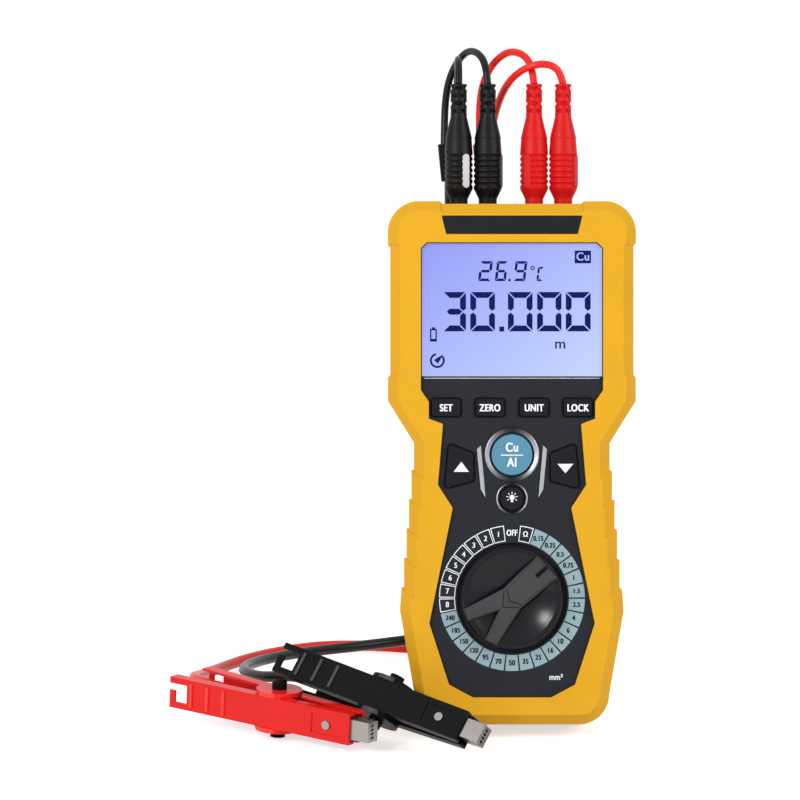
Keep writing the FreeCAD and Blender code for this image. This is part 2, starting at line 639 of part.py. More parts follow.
def keys():
    for number in range(1, 5):
        key("row_key_%d" % number, row_key_outline(number, "0"),
            row_key_outline(number, "0", "flange_wide"), "row_pitch * %s" % (number - 2.5), "row_height")
    for side, label, sign in (("left", "up_key", "-"), ("right", "down_key", "")):
        key(label, arrow_key_outline(side, "0"), arrow_key_outline(side, "0", "flange_wide"),
            sign + "(arrow_inner + arrow_outer_low) / 2", "(arrow_top + arrow_low) / 2")
    for name, label in (("metal", "metal_key"), ("light", "light_key")):
        spot = ("0", name + "_key_height")
        key(label, spot + (name + "_key_radius",), spot + (name + "_key_radius + flange_wide",), *spot)


def selector_knob():
    """A dished disc with a raised pointer that forks into two legs, on a stub shaft."""
    made = body("selector_knob")
    base = "play_gap - panel_thick - panel_sink"
    lip = "knob_radius - knob_rim_wide"
    dish = "((%s) ^ 2 + dish_deep ^ 2) / (2 * dish_deep)" % lip
    section = outline(sketch(made, "knob_section", role="XZ_Plane"), [
        ("0", "knob_rim - dish_deep", dish), (lip, "knob_rim"),
        ("knob_radius - knob_rim_wide / 3", "knob_rim"),
        ("knob_radius", "knob_rim - knob_rim_wide / 3"), ("knob_radius", base), ("0", base)])
    turned(made, section)
    pointer = outline(sketch(made, "pointer", "knob_rim - dish_deep - 0.5"), mirrored([
        ("0", "-crotch_drop"), ("leg_inner", "-leg_inner_end"), ("leg_outer", "-leg_outer_end"),
        ("handle_waist_half", "-handle_waist"), ("handle_tip_half", "handle_tip")])[:-1])
    pad(made, pointer, "handle_rise - knob_rim + dish_deep + 0.5", up=True)
    dressed(made, "Chamfer", "pointer_bevel", level(value("handle_rise")), "handle_bevel")
    facet = outline(sketch(made, "pointer_facet", "handle_rise"), mirrored([
        ("0", "-handle_waist - 1"), ("handle_waist_half - 1.5 * handle_bevel", "handle_waist + 1"),
        ("handle_tip_half - 1.5 * handle_bevel", "handle_tip - 1.5 * handle_bevel")])[:-1])
    pad(made, facet, "facet_rise", up=True)
    mark = sketch(made, "pointer_mark", "handle_rise + facet_rise")
    rectangle(mark, "-mark_half", "handle_tip - mark_long", "mark_half", "handle_tip + 1")
    pocket(made, mark, "mark_deep + facet_rise")
    shaft = circle(sketch(made, "knob_shaft", base), "0", "0", "shaft_radius")
    pad(made, shaft, "well_floor + play_gap + shaft_tail + wafer_thick")
    made.Placement = KNOB


def selector_wafer():
    """The rotor behind the face, with a notch for each of the dial's places."""
    made = body("selector_wafer")
    disc = circle(sketch(made, "wafer_disc"), "0", "0", "wafer_radius")
    circle(disc, "0", "0", "shaft_radius + running_gap")
    pad(made, disc, "wafer_thick")
    notch = circle(sketch(made, "wafer_notch"), "0", "wafer_radius", "notch_radius")
    cut = pocket(made, notch, "wafer_thick")
    pattern = made.newObject("PartDesign::PolarPattern", "wafer_notches")
    pattern.Originals = [cut]
    pattern.Axis = (notch, ["N_Axis"])
    pattern.Angle = 360
    pattern.setExpression("Occurrences", "Sizes.notch_count")
    made.Tip = pattern
    made.Placement = KNOB * at(0, 0, -value(WELL_BACK + " + shaft_tail"))


def detent_spring():
    """A block under the dial's well whose nose rests beside the wafer's notches."""
    foot = box("detent_foot", "detent_long", "detent_wide", "wafer_thick + shaft_tail", at(
        value("wafer_radius + 2 * notch_radius + running_gap"), -value("detent_wide") / 2, 0))
    nose = cylinder("detent_nose", "notch_radius", "wafer_thick", at(
        value("wafer_radius + notch_radius + seat_gap"), 0, 0))
    bridge = box("detent_bridge", "2 * notch_radius", "notch_radius", "wafer_thick", at(
        value("wafer_radius + notch_radius + seat_gap"), -value("notch_radius") / 2, 0))
    made = joined("detent_spring", "MultiFuse", [foot, nose, bridge])
    behind = WELL_BACK + " + wafer_thick + shaft_tail + seat_gap"
    made.Placement = on_meter(0, value("dial_height"), value(behind))


def circuit_board():
    made = body("circuit_board")
    shape = mirrored([("board_low_half", "board_low"), ("board_low_half", "board_step"),
                      ("board_high_half", "board_step + board_high_half - board_low_half"),
                      ("board_high_half", "board_high")])
    drawn = outline(sketch(made, "board_shape", "-board_depth"), shape)
    for x in ("high_boss_x", "-high_boss_x"):
        circle(drawn, x, "high_boss_y", "boss_radius + play_gap")
    pad(made, drawn, "board_thick")
    made.Placement = METER


def key_mat():
    plain_plate("key_mat", [("-face_row_half", "light_key_height - 2 * light_key_radius"),
                            ("face_row_half", "light_key_height - 2 * light_key_radius"),
                            ("face_row_half", "row_height + row_key_high"),
                            ("-face_row_half", "row_height + row_key_high")],
                minus(MAT_DEPTH), "mat_thick")


def socket_block():
    made = body("socket_block")
    top = "case_height - top_dip - block_sink"
    shape = sketch(made, "block_shape", "block_deep / 2 - parting_depth")
    rectangle(shape, "-block_half", "block_low", "block_half", top)
    pad(made, shape, "block_deep")
    bores = sketch(made, "socket_bores", minus(top), role="XZ_Plane")
    sleeves = sketch(made, "sleeve_bores", "-block_low", role="XZ_Plane")
    for x in SOCKETS:
        circle(bores, x, "-parting_depth", "socket_radius")
        circle(sleeves, x, "-parting_depth", "sleeve_outer + running_gap")
    pocket(made, bores, "%s - block_low - block_base" % top, up=True)
    pocket(made, sleeves, "block_base", up=False)
    made.Placement = METER


def socket_sleeves():
    pieces = []
    for number, x in enumerate(SOCKETS, start=1):
        place = at(value(x), value("block_low"), -value("parting_depth"), ALONG_Y)
        outer = cylinder("sleeve_%d" % number, "sleeve_outer", "sleeve_long", place)
        bore = cylinder("sleeve_bore_%d" % number, "sleeve_inner", "sleeve_long", place)
        pieces.append(tube(outer, bore))
    joined("socket_sleeves", "Compound", pieces).Placement = METER


def battery_cells():
    pieces = []
    for column in (-0.5, 0.5):
        for rank in (0, 1):
            base = value("box_low + play_gap") + rank * value("cell_long + cell_cap + play_gap")
            depth = value(BOX_DEPTH + " + cell_radius + play_gap")
            place = at(value("cell_pitch") * column, base, -depth, ALONG_Y)
            cell = cylinder("cell_%g_%d" % (column + 1, rank), "cell_radius", "cell_long", place)
            cap = cylinder("cap_%g_%d" % (column + 1, rank), "cell_radius / 3",
                           "cell_long + cell_cap", place)
            pair = doc.addObject("Part::Fuse", "cell_fused")
            pair.Base, pair.Tool = cell, cap
            pieces.append(pair)
    joined("battery_cells", "Compound", pieces).Placement = METER


def battery_cover():
    made = body("battery_cover")
    top = "niche_deep - case_depth + cover_thick - seat_gap"
    shape = sketch(made, "cover_shape", top)
    rectangle(shape, "-box_half - cover_rim + play_gap", "box_low - cover_rim + play_gap",
              "box_half + cover_rim - play_gap", "box_high + cover_tab - play_gap")
    pad(made, shape, "cover_thick - seat_gap")
    hole = circle(sketch(made, "cover_hole", top), "0", "box_high + cover_tab / 2",
                  "pilot_radius + seat_gap")
    pocket(made, hole, "cover_thick")
    sink = circle(sketch(made, "screw_sink", "niche_deep - case_depth"), "0", "box_high + cover_tab / 2",
                  "screw_head + play_gap")
    pocket(made, sink, "screw_head / 2", up=True)
    made.Placement = METER


def screw(name, depth, length, head, place):
    """A pan-head screw; its head's underside is at a depth behind the front rim."""
    shank = cylinder(name + "_shank", "screw_radius", length, place * at(0, 0, -value(depth)))
    seat = place * at(0, 0, -value(depth + " + screw_head / 2"))
    top = cylinder(name + "_head", head, "screw_head / 2", seat)
    fused = doc.addObject("Part::Fuse", name)
    fused.Base, fused.Tool = shank, top
    return fused


def screws():
    seat = "parting_depth + screw_seat"
    pieces = [screw("case_screw_%d" % number, seat, "case_screw_long", "screw_head",
                    at(value(x), value(y)))
              for number, (x, y) in enumerate(boss_spots(), start=1)]
    joined("case_screws", "Compound", pieces).Placement = METER
    place = at(0, value("box_high + cover_tab / 2"))
    lone = screw("cover_screw", "case_depth - niche_deep - screw_head / 2", "cover_screw_long",
                 "screw_head", place)
    lone.Label = "cover_screw"
    nodes.append(lone)
    lone.Placement = METER


def tilt_stand():
    """A ribbed leg on two pins, swung out to its stop; z is its outer side when folded flat."""
    made = body("tilt_stand")
    leg = outline(sketch(made, "leg_shape", "stand_thick / 2"), mirrored([
        ("stand_half - stand_taper", minus(FOOT_RUN)), ("stand_half", "-stand_barrel * 3"),
        ("stand_half", "0")]))
    pad(made, leg, "stand_thick")
    for name, height, up in (("leg_window", "stand_thick / 2", False),
                             ("leg_recess", "-stand_thick / 2", True)):
        drawn = outline(sketch(made, name, height), mirrored([
            ("stand_half - stand_taper - 2 * stand_barrel", "4 * stand_barrel - " + FOOT_RUN),
            ("stand_half - 2 * stand_barrel", "-4 * stand_barrel")]))
        pocket(made, drawn, "stand_panel_deep", up)
    barrel = circle(sketch(made, "barrel", "-stand_half", role="YZ_Plane"), "0", "0", "stand_barrel")
    pad(made, barrel, "2 * stand_half", up=True)
    foot = circle(sketch(made, "foot_bar", "stand_taper - stand_half", role="YZ_Plane"),
                  minus(FOOT_RUN), "0", "stand_foot")
    pad(made, foot, "2 * (stand_half - stand_taper)", up=True)
    pins = circle(sketch(made, "stand_pins", "-stand_half - 2 * stand_pin", role="YZ_Plane"),
                  "0", "0", "stand_pin")
    pad(made, pins, "2 * stand_half + 4 * stand_pin", up=True)
    made.Placement = on_meter(0, value("stand_height"), stand_depth,
                              Rotation(Vector(1, 0, 0), stand_angle))


# ---------------------------------------------------------------- leads

def plug(label, x):
    """A shrouded safety plug: ribbed grip, shoulder and a segmented strain relief."""
    made = body(label)
    half = [("shroud_inner", "shroud_low"), ("shroud_radius", "shroud_low"),
            ("shroud_radius", "collar_top"), ("grip_radius", "flare_top")]
    for rib in range(6):
        rise = "flare_top + 2 * rib_deep + %d * rib_pitch" % rib
        half += [("grip_radius", rise), ("grip_radius - rib_deep", rise + " + rib_pitch / 3"),
                 ("grip_radius", rise + " + rib_pitch / 1.5")]
    half += [("grip_radius", "grip_top"), ("grip_radius - rib_deep", "shoulder_top"),
             ("relief_radius", "cone_top")]
    for segment in range(4):
        rise = "cone_top + %d * segment_pitch" % segment
        half += [("relief_radius", rise + " + segment_pitch / 2"),
                 ("relief_radius - segment_deep", rise + " + segment_pitch * 0.75"),
                 ("relief_radius", rise + " + segment_pitch")]
    half += [("relief_radius", "relief_top"), ("0", "relief_top"), ("0", "pin_top"),
             ("pin_radius", "pin_top"), ("pin_radius", "shroud_floor"), ("shroud_inner", "shroud_floor")]
    turned(made, outline(sketch(made, label + "_section"), half))
    made.Placement = on_meter(value(x), 0, value("parting_depth"))


def plug_pins(label, places):
    pieces = [
        cylinder("%s_%d" % (label, number), "pin_radius", "pin_top - pin_low",
                 at(value(x), value("pin_low"), -value("parting_depth"), ALONG_Y))
        for number, x in enumerate(places)]
    joined(label, "Compound", pieces).Placement = METER


def boot(label, x):
    """The moulded joint in which two thin wires become one lead, tapering to the lead."""
    made = body(label)
    top = sketch(made, label + "_top", role="XZ_Plane")
    rectangle(top, "-boot_wide / 2", "-boot_deep / 2", "boot_wide / 2", "boot_deep / 2")
    low = sketch(made, label + "_low", "boot_long", role="XZ_Plane")
    rectangle(low, "boot_taper - boot_wide / 2", "(boot_taper - boot_deep) / 2",
              "boot_wide / 2 - boot_taper", "(boot_deep - boot_taper) / 2")
    loft = made.newObject("PartDesign::AdditiveLoft", label + "_loft")
    loft.Profile, loft.Sections, loft.Ruled = top, [low], True
    doc.recompute()
    made.Placement = on_meter(value(x), value("boot_top"), value("boot_depth"))


def tube_shape(points, thick):
    """A round cord through the points: straight runs joined by tangent arcs."""
    runs, start, length = [], points[0], 0
    for index in range(1, len(points) - 1):
        before, corner, after = points[index - 1:index + 2]
        inward, outward = before - corner, after - corner
        turn = math.pi - inward.getAngle(outward)
        cut = 0.45 * min(inward.Length, outward.Length)
        radius = cut / math.tan(turn / 2)
        first = corner + inward.normalize() * cut
        last = corner + outward.normalize() * cut
        bisector = (inward + outward).normalize()
        centre = corner + bisector * math.hypot(radius, cut)
        middle = centre - bisector * radius
        runs += [Part.makeLine(start, first), Part.Arc(first, middle, last).toShape()]
        length += (first - start).Length + radius * turn
        start = last
        tightest.append((round(radius / thick, 1), round(math.degrees(turn)), index))
    runs.append(Part.makeLine(start, points[-1]))
    length += (points[-1] - start).Length
    ring = Part.Wire([Part.makeCircle(thick / 2, points[0], points[1] - points[0])])
    solid = Part.Wire(runs).makePipeShell([ring], True, True)
    share = solid.Volume / (math.pi * thick ** 2 / 4 * length)
    if abs(share - 1) > 0.01:
        raise RuntimeError("a cord's volume is %.3f of section times length" % share)
    return solid


tightest = []


def cord(label, thick, *paths):
    """A node of one or two lengths of round cord, each through its own world points."""
    tightest.clear()
    solids = [tube_shape(points, value(thick)) for points in paths]
    made = doc.addObject("Part::Feature", label)
    made.Shape = solids[0] if len(solids) == 1 else Part.makeCompound(solids)
    nodes.append(made)
    print(label, "tightest bends (radius / thickness, degrees, point)", sorted(tightest)[:3])


def near_meter(points):
    """World points of (x, height over the case's top, depth) in the meter's frame."""
    return [METER * Vector(x, value("case_height") + y, -depth) for x, y, depth in points]


def on_table(points):
    """World points of (x, distance behind the case's foot, height)."""
    return [Vector(x, y + contact, z) for x, y, z in points]


def coil(label, x, back, level_text):
    """The spare length of a lead, coiled flat: the outer shape of its two turns."""
    made = body(label)
    section = outline(sketch(made, label + "_section", role="XZ_Plane"), rounded(
        "coil_radius - lead_thick / 2", "0", "coil_radius + lead_thick / 2", "lead_turns * lead_thick",
        "lead_thick * 0.45"))
    turned(made, section)
    made.Placement = at(value(x), contact + value(back), value(level_text))


# ---------------------------------------------------------------- clips
# An arm's own frame: x from its open end to its nose, y inward from its outer face, z across.

def arm_shell(label):
    """The plastic channel of an arm, with its hook, finger ribs and the seat of the jaw's tongue."""
    made = body(label)
    side = outline(sketch(made, label + "_side", "arm_half"), [
        ("0", "0"), ("arm_long", "0"), ("arm_long", "arm_nose"), ("arm_straight", "arm_deep"),
        ("0", "arm_deep")])
    pad(made, side, "2 * arm_half")
    trough = sketch(made, label + "_trough", "-arm_wall", role="XZ_Plane")
    rectangle(trough, "-1", "arm_wall - arm_half", "arm_long + 1", "arm_half - arm_wall")
    pocket(made, trough, "arm_deep")
    hook = sketch(made, label + "_hook", role="XZ_Plane")
    outline(hook, [("hook_start", "-hook_half"), ("hook_end", "-hook_half"), ("hook_end", "hook_half"),
                   ("-1", "hook_half"), ("-1", "slit_low"), ("hook_start", "slit_low")])
    pocket(made, hook, "arm_wall")
    ribs = sketch(made, label + "_ribs", role="XZ_Plane")
    for number in range(3):
        left = "rib_start + %d * rib_step" % number
        rectangle(ribs, left, "-rib_half", left + " + rib_wide", "rib_half")
    pad(made, ribs, "rib_rise", up=True)
    tongue = sketch(made, label + "_tongue_seat", role="XZ_Plane")
    rectangle(tongue, "tongue_start", "-tongue_half", "tongue_end", "tongue_half")
    pocket(made, tongue, "tongue_sink")
    rivet_hole = circle(sketch(made, label + "_rivet_hole", role="XZ_Plane"), "rivet_place", "0",
                        "rivet_radius * 0.8")
    pocket(made, rivet_hole, "arm_wall")
    return made


def ears(made, radius, outer, inner, seam):
    """Two pivot ears between two distances from the middle, tied to the side walls at the seam."""
    label = made.Name
    for number, level_text, up in ((1, outer, False), (2, minus(outer), True)):
        ear = sketch(made, "%s_ear_%d" % (label, number), level_text)
        circle(ear, "pivot_place", "pivot_deep", radius)
        pad(made, ear, "%s - (%s)" % (outer, inner), up)
    tie_top = "%s + arm_wall / 2" % seam
    for number, up in ((1, False), (2, True)):
        top = tie_top if number == 1 else minus(tie_top)
        tie = sketch(made, "%s_tie_%d" % (label, number), top)
        rectangle(tie, "pivot_place - inner_ear_radius", "arm_wall / 2",
                  "pivot_place + inner_ear_radius", "arm_deep - seat_gap")
        pad(made, tie, "arm_wall", up)
    bore = circle(sketch(made, label + "_bore", "2 * arm_half"), "pivot_place", "pivot_deep",
                  "pivot_radius + running_gap")
    pocket(made, bore, "4 * arm_half")


def jaw(label):
    """A sheet-metal jaw: a tongue along the arm, a toothed end, two cheeks and its rivet."""
    made = body(label)
    reach = "jaw_half - bite_gap / 2"
    fold = outline(sketch(made, label + "_fold", "jaw_half"), [
        ("jaw_start", "arm_wall"), ("jaw_tip", "arm_wall"), ("jaw_tip", reach),
        ("jaw_tip - jaw_plate", reach), ("jaw_tip - jaw_plate", "arm_wall + jaw_plate"),
        ("jaw_start", "arm_wall + jaw_plate")])
    pad(made, fold, "2 * jaw_half")
    for number, level_text, up in ((1, "jaw_half", False), (2, "-jaw_half", True)):
        cheek = sketch(made, "%s_cheek_%d" % (label, number), level_text)
        rectangle(cheek, "arm_long + play_gap", "arm_wall", "jaw_tip", reach)
        pad(made, cheek, "jaw_plate", up)
    teeth = sketch(made, label + "_teeth", "jaw_tip", role="YZ_Plane")
    for number in range(4):
        middle = "(%s) * 2 * jaw_half / 5" % (number - 1.5)
        outline(teeth, [("%s - tooth_deep" % reach, middle),
                        ("%s + 1" % reach, "%s - jaw_half / 4" % middle),
                        ("%s + 1" % reach, "%s + jaw_half / 4" % middle)])
    pocket(made, teeth, "2 * jaw_plate")
    head = circle(sketch(made, label + "_rivet", "-tongue_sink", role="XZ_Plane"), "rivet_place", "0",
                  "rivet_radius")
    pad(made, head, "tongue_sink + play_gap", up=True)
    shank = circle(sketch(made, label + "_shank", "-tongue_sink", role="XZ_Plane"), "rivet_place", "0",
                   "rivet_radius * 0.8 - running_gap")
    pad(made, shank, "arm_wall - tongue_sink")
    return made


def torsion_spring(label):
    """The coil on the pivot, with a short leg beside each arm."""
    middle = "-spring_half"
    pivot = at(value("pivot_place"), value("pivot_deep"), value(middle))
    wound = tube(cylinder(label + "_coil", "coil_outer", "2 * spring_half", pivot),
                 cylinder(label + "_hole", "coil_inner", "2 * spring_half", pivot))
    legs = []
    for number, side, height in ((1, -1, "spring_half - spring_wire"), (2, 1, "-spring_half")):
        low = value("pivot_deep") + side * value("coil_outer") - (side > 0) * value("spring_wire")
        legs.append(box("%s_leg_%d" % (label, number), "spring_leg", "spring_wire", "spring_wire",
                        at(value("pivot_place - spring_leg"), low, value(height))))
    return joined(label, "MultiFuse", [wound] + legs)


def pivot_pin(label):
    """The pivot with a flat head at each end, just outside the ears."""
    reach = "(arm_half + seat_gap + ear_thick + running_gap)"
    place = at(value("pivot_place"), value("pivot_deep"), -value(reach))
    shank = cylinder(label + "_shank", "pivot_radius", "2 * " + reach, place)
    heads = [cylinder("%s_head_%d" % (label, number), "pin_head_radius", "pin_head", at(
        value("pivot_place"), value("pivot_deep"), height))
        for number, height in ((1, value(reach)), (2, -value(reach + " + pin_head")))]
    return joined(label, "MultiFuse", [shank] + heads)


def clip(colour, place):
    """One spring clip: the front arm and jaw swing about the pivot, the rest is fixed."""
    pivot = at(value("pivot_place"), value("pivot_deep"))
    closed = math.degrees(math.asin(value("(pivot_deep - jaw_half) / (jaw_tip - pivot_place)")))
    far = (place * pivot * Placement(Vector(), Rotation(Vector(0, 0, 1), -2 * closed))
           * Placement(Vector(), Rotation(Vector(1, 0, 0), 180)) * pivot.inverse())
    front = arm_shell(colour + "_front_arm")
    ears(front, "ear_radius", "arm_half + seat_gap + ear_thick", "arm_half + seat_gap",
         "arm_half + seat_gap / 2")
    rear = arm_shell(colour + "_rear_arm")
    inner = "arm_half - arm_wall - seat_gap"
    ears(rear, "inner_ear_radius", inner, inner + " - ear_thick", inner + " + seat_gap / 2")
    front.Placement = place
    rear.Placement = far
    jaw(colour + "_front_jaw").Placement = place
    jaw(colour + "_rear_jaw").Placement = far
    torsion_spring(colour + "_clip_spring").Placement = place
    pivot_pin(colour + "_pivot_pin").Placement = place
    return far


def clip_place(x, back, z, heading, dip, roll):
    turn = (Rotation(Vector(0, 0, 1), value(heading)) * Rotation(Vector(0, 1, 0), value(dip))
            * Rotation(Vector(1, 0, 0), value(roll)))
    return Placement(Vector(value(x), value(back) + contact, value(z)), turn)


# ---------------------------------------------------------------- the pieces

front_case()
rear_case()
face_panel()
plain_plate("display_window", lens_outline("0"), "-panel_sink", "lens_thick")
GLASS = mirrored([("glass_half", "glass_low"), ("glass_half", "glass_high - face_corner"),
                  ("glass_half - face_corner", "glass_high")])
plain_plate("lcd_panel", GLASS, "-(%s) - seat_gap" % FACE_BACK, "glass_thick")
plain_plate("backlight_panel", GLASS, "-(%s) - 2 * seat_gap - glass_thick" % FACE_BACK, "light_thick")
plain_plate("name_plate", plate_outline("panel_gap"), "-plate_deep / 4",
            "plate_deep * 3 / 4 - running_gap")
for ring in ("metal", "light"):
    trim_ring(ring)
for side in ("left", "right"):
    accent_bar(side)
keys()
selector_knob()
selector_wafer()
detent_spring()
circuit_board()
key_mat()
socket_block()
socket_sleeves()
battery_cells()
battery_cover()
screws()
tilt_stand()

for label, x in (("black_plug_outer", "-socket_outer"), ("black_plug_inner", "-socket_inner"),
                 ("red_plug_inner", "socket_inner"), ("red_plug_outer", "socket_outer")):
    plug(label, x)
plug_pins("black_plug_pins", SOCKETS[:2])
plug_pins("red_plug_pins", SOCKETS[2:])
boot("black_boot", "black_boot_x")
boot("red_boot", "red_boot_x")
coil("red_coil", "0 - coil_aside", "coil_back - coil_aside", "0 * lead_thick")
coil("black_coil", "0 * coil_aside", "coil_back", "lead_turns * lead_thick + seat_gap")

RED_FAR = clip("red", clip_place("red_clip_x", "red_clip_y", "red_clip_z", "red_heading",
                                 "red_dip", "0 * red_dip"))
BLACK_FAR = clip("black", clip_place("black_clip_x", "black_clip_y", "black_clip_z", "black_heading",
                                     "black_dip", "black_roll"))

cord("black_wire_outer", "wire_thick", near_meter([
    (-23.2, 52.8, 26), (-23.2, 60.5, 28.6), (-23.3, 64.9, 35.4), (-23.3, 64, 43.5),
    (-23.4, 58.9, 49.8), (-23.6, 51.7, 53.8), (-23.8, 43.8, 56.2), (-24, 35.6, 57.6),
    (-24.2, 27.4, 58)]))
cord("black_wire_inner", "wire_thick", near_meter([
    (-10.3, 52.8, 26), (-11, 61.5, 28.2), (-14.2, 67.4, 35.5), (-19, 69, 44.2),
    (-23.9, 64, 51.3), (-27.4, 56.3, 55.8), (-28.9, 47, 58), (-29.3, 37.2, 58.4),
    (-29.4, 27.4, 58)]))
cord("red_wire_inner", "wire_thick", near_meter([
    (10.3, 52.8, 26), (9.5, 60.8, 28.6), (5.9, 66.6, 33.4), (-0.4, 68.4, 38.9),
    (-6.1, 64.9, 44.2), (-10.1, 59.3, 49.2), (-12.6, 52.4, 53.5), (-13.5, 44.5, 56.7),
    (-13.6, 36, 58), (-13.6, 27.4, 58.1)]))
cord("red_wire_outer", "wire_thick", near_meter([
    (23.2, 52.8, 26), (21.9, 58.4, 25), (17.4, 61.5, 23.6), (11.4, 61.6, 23.5), (5.6, 59.5, 26),
    (0.8, 56, 30.7), (-2.5, 51.6, 36.6), (-4.9, 46.4, 42.8), (-6.7, 40.6, 48.8),
    (-7.9, 34.2, 54.2), (-8.4, 27.4, 58)]))


def into_clip(far):
    """The lead's last world points, inside the fixed arm."""
    return [far * Vector(*point) for point in ((-3, 4.8, 0), (10, 4.1, 0), (25, 3.9, 0), (40, 3.9, 0))]


cord("black_lead", "lead_thick", on_table([
    (-26.8, 56.7, 235), (-26.7, 59.2, 215.2), (-25.4, 63.6, 195.9), (-22.2, 67.8, 176.7),
    (-17.6, 71.6, 157.8), (-11.2, 74.3, 139.1), (-4.2, 76, 120.5), (3.2, 77.2, 102.1),
    (10.9, 77.9, 83.8), (18.5, 79, 65.4), (24.7, 81.6, 46.7), (28.3, 87.6, 28.3), (29, 103, 17.6)]),
    on_table([
    (4, 129, 12.7), (-16.8, 129.4, 11.7), (-37.4, 127.9, 9.4), (-57.2, 122, 8), (-75.2, 111.9, 8.1),
    (-91, 98.6, 9.2), (-104.3, 82.8, 10.7), (-114.2, 64.5, 12.3), (-120, 44.6, 14.2),
    (-119.7, 24.1, 16.2), (-111, 5.5, 18)]) + into_clip(BLACK_FAR))
cord("red_lead", "lead_thick", on_table([
    (-11, 56.7, 235), (-11.6, 57.7, 214.7), (-13.2, 59, 194.4), (-15.3, 60.1, 174.2),
    (-17.7, 61, 154), (-20.1, 61.8, 133.7), (-22.2, 62.5, 113.5), (-24.2, 63.1, 93.2),
    (-26, 63.6, 72.9), (-27, 64.1, 52.5), (-26, 64.6, 32.3), (-18, 65, 14), (0, 65.4, 7.5)]),
    on_table([
    (-2, 123, 2.6), (-21.6, 126.3, 2.8), (-41.5, 134, 2.9), (-62.7, 139.8, 3), (-85.2, 138.9, 3.1),
    (-104.7, 127.8, 3), (-120.1, 111.2, 3.2), (-130.5, 91.2, 3.8), (-137, 69.6, 5.9),
    (-140.8, 47.6, 9.2), (-142.8, 25.5, 13.8)]) + into_clip(RED_FAR))

doc.recompute()
for item in doc.Objects:
    if "Invalid" in item.State or "Error" in item.State:
        raise RuntimeError("%s is not computed: %s" % (item.Name, item.State))
os.makedirs("parts", exist_ok=True)
for node in nodes:
    if node.Shape.isNull() or not node.Shape.isValid():
        raise RuntimeError("%s has no valid shape" % node.Label)
    node.Shape.exportStep("parts/%s.step" % node.Label)
print(len(nodes), "pieces written")
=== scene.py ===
"""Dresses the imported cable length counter: finishes, display, lettering, cords and the stage."""

import json
import math

import bpy
from mathutils import Matrix, Vector


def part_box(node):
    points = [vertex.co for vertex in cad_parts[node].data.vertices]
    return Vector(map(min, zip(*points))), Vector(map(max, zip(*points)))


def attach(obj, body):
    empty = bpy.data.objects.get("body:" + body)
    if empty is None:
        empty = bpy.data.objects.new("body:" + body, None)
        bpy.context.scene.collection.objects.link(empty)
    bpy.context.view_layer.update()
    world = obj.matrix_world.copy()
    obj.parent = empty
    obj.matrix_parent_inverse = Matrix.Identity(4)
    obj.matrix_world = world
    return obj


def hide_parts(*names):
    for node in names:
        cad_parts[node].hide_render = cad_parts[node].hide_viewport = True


bl_info = {
    "name": "Cable Length Counter",
    "version": (1, 0, 0),
    "blender": (4, 5, 0),
    "location": "View3D > Sidebar > Counter",
    "description": "Dresses a hand-held cable length counter with its display, dial and clip leads",
    "category": "Object",
}

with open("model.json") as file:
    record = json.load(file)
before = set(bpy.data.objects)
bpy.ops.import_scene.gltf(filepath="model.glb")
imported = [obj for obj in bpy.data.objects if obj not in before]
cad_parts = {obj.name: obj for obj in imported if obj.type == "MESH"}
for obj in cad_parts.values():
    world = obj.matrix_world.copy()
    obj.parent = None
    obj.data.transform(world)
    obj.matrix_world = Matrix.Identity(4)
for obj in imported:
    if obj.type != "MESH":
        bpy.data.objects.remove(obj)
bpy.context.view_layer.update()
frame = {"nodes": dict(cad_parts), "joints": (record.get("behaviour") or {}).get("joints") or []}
NODES = frame["nodes"]
JOINTS = {joint["name"]: joint for joint in frame["joints"]}
MM = 0.001
LIFT = 0.003 * MM           # keeps one printed layer clear of the next
SMOOTH = math.radians(40)   # faces that meet at less than this are shaded as one
FACE_NORMAL = Vector(JOINTS["selector_turn"]["axis"]).normalized()
FACE_UP = FACE_NORMAL.cross(Vector((1, 0, 0))).normalized()


def paint(red, green, blue):
    """A linear colour from the 0 to 255 numbers of a colour picker."""
    return tuple(((c / 255 + 0.055) / 1.055) ** 2.4 if c > 10 else c / 255 / 12.92
                 for c in (red, green, blue))


def colour(name, red, green, blue):
    """A colour that a user can change."""
    return bpy.props.FloatVectorProperty(
        name=name, description=name + " as the lamps show it", subtype="COLOR", size=3,
        min=0, max=1, default=paint(red, green, blue))


def length(name, text, millimetres):
    """A length that a user can change."""
    return bpy.props.FloatProperty(name=name, description=text, default=millimetres * MM,
                                   unit="LENGTH", precision=5)


def power(name, text, watts):
    """A lamp's power that a user can change."""
    return bpy.props.FloatProperty(name=name, description=text, default=watts, unit="POWER")


# ---------------- settings

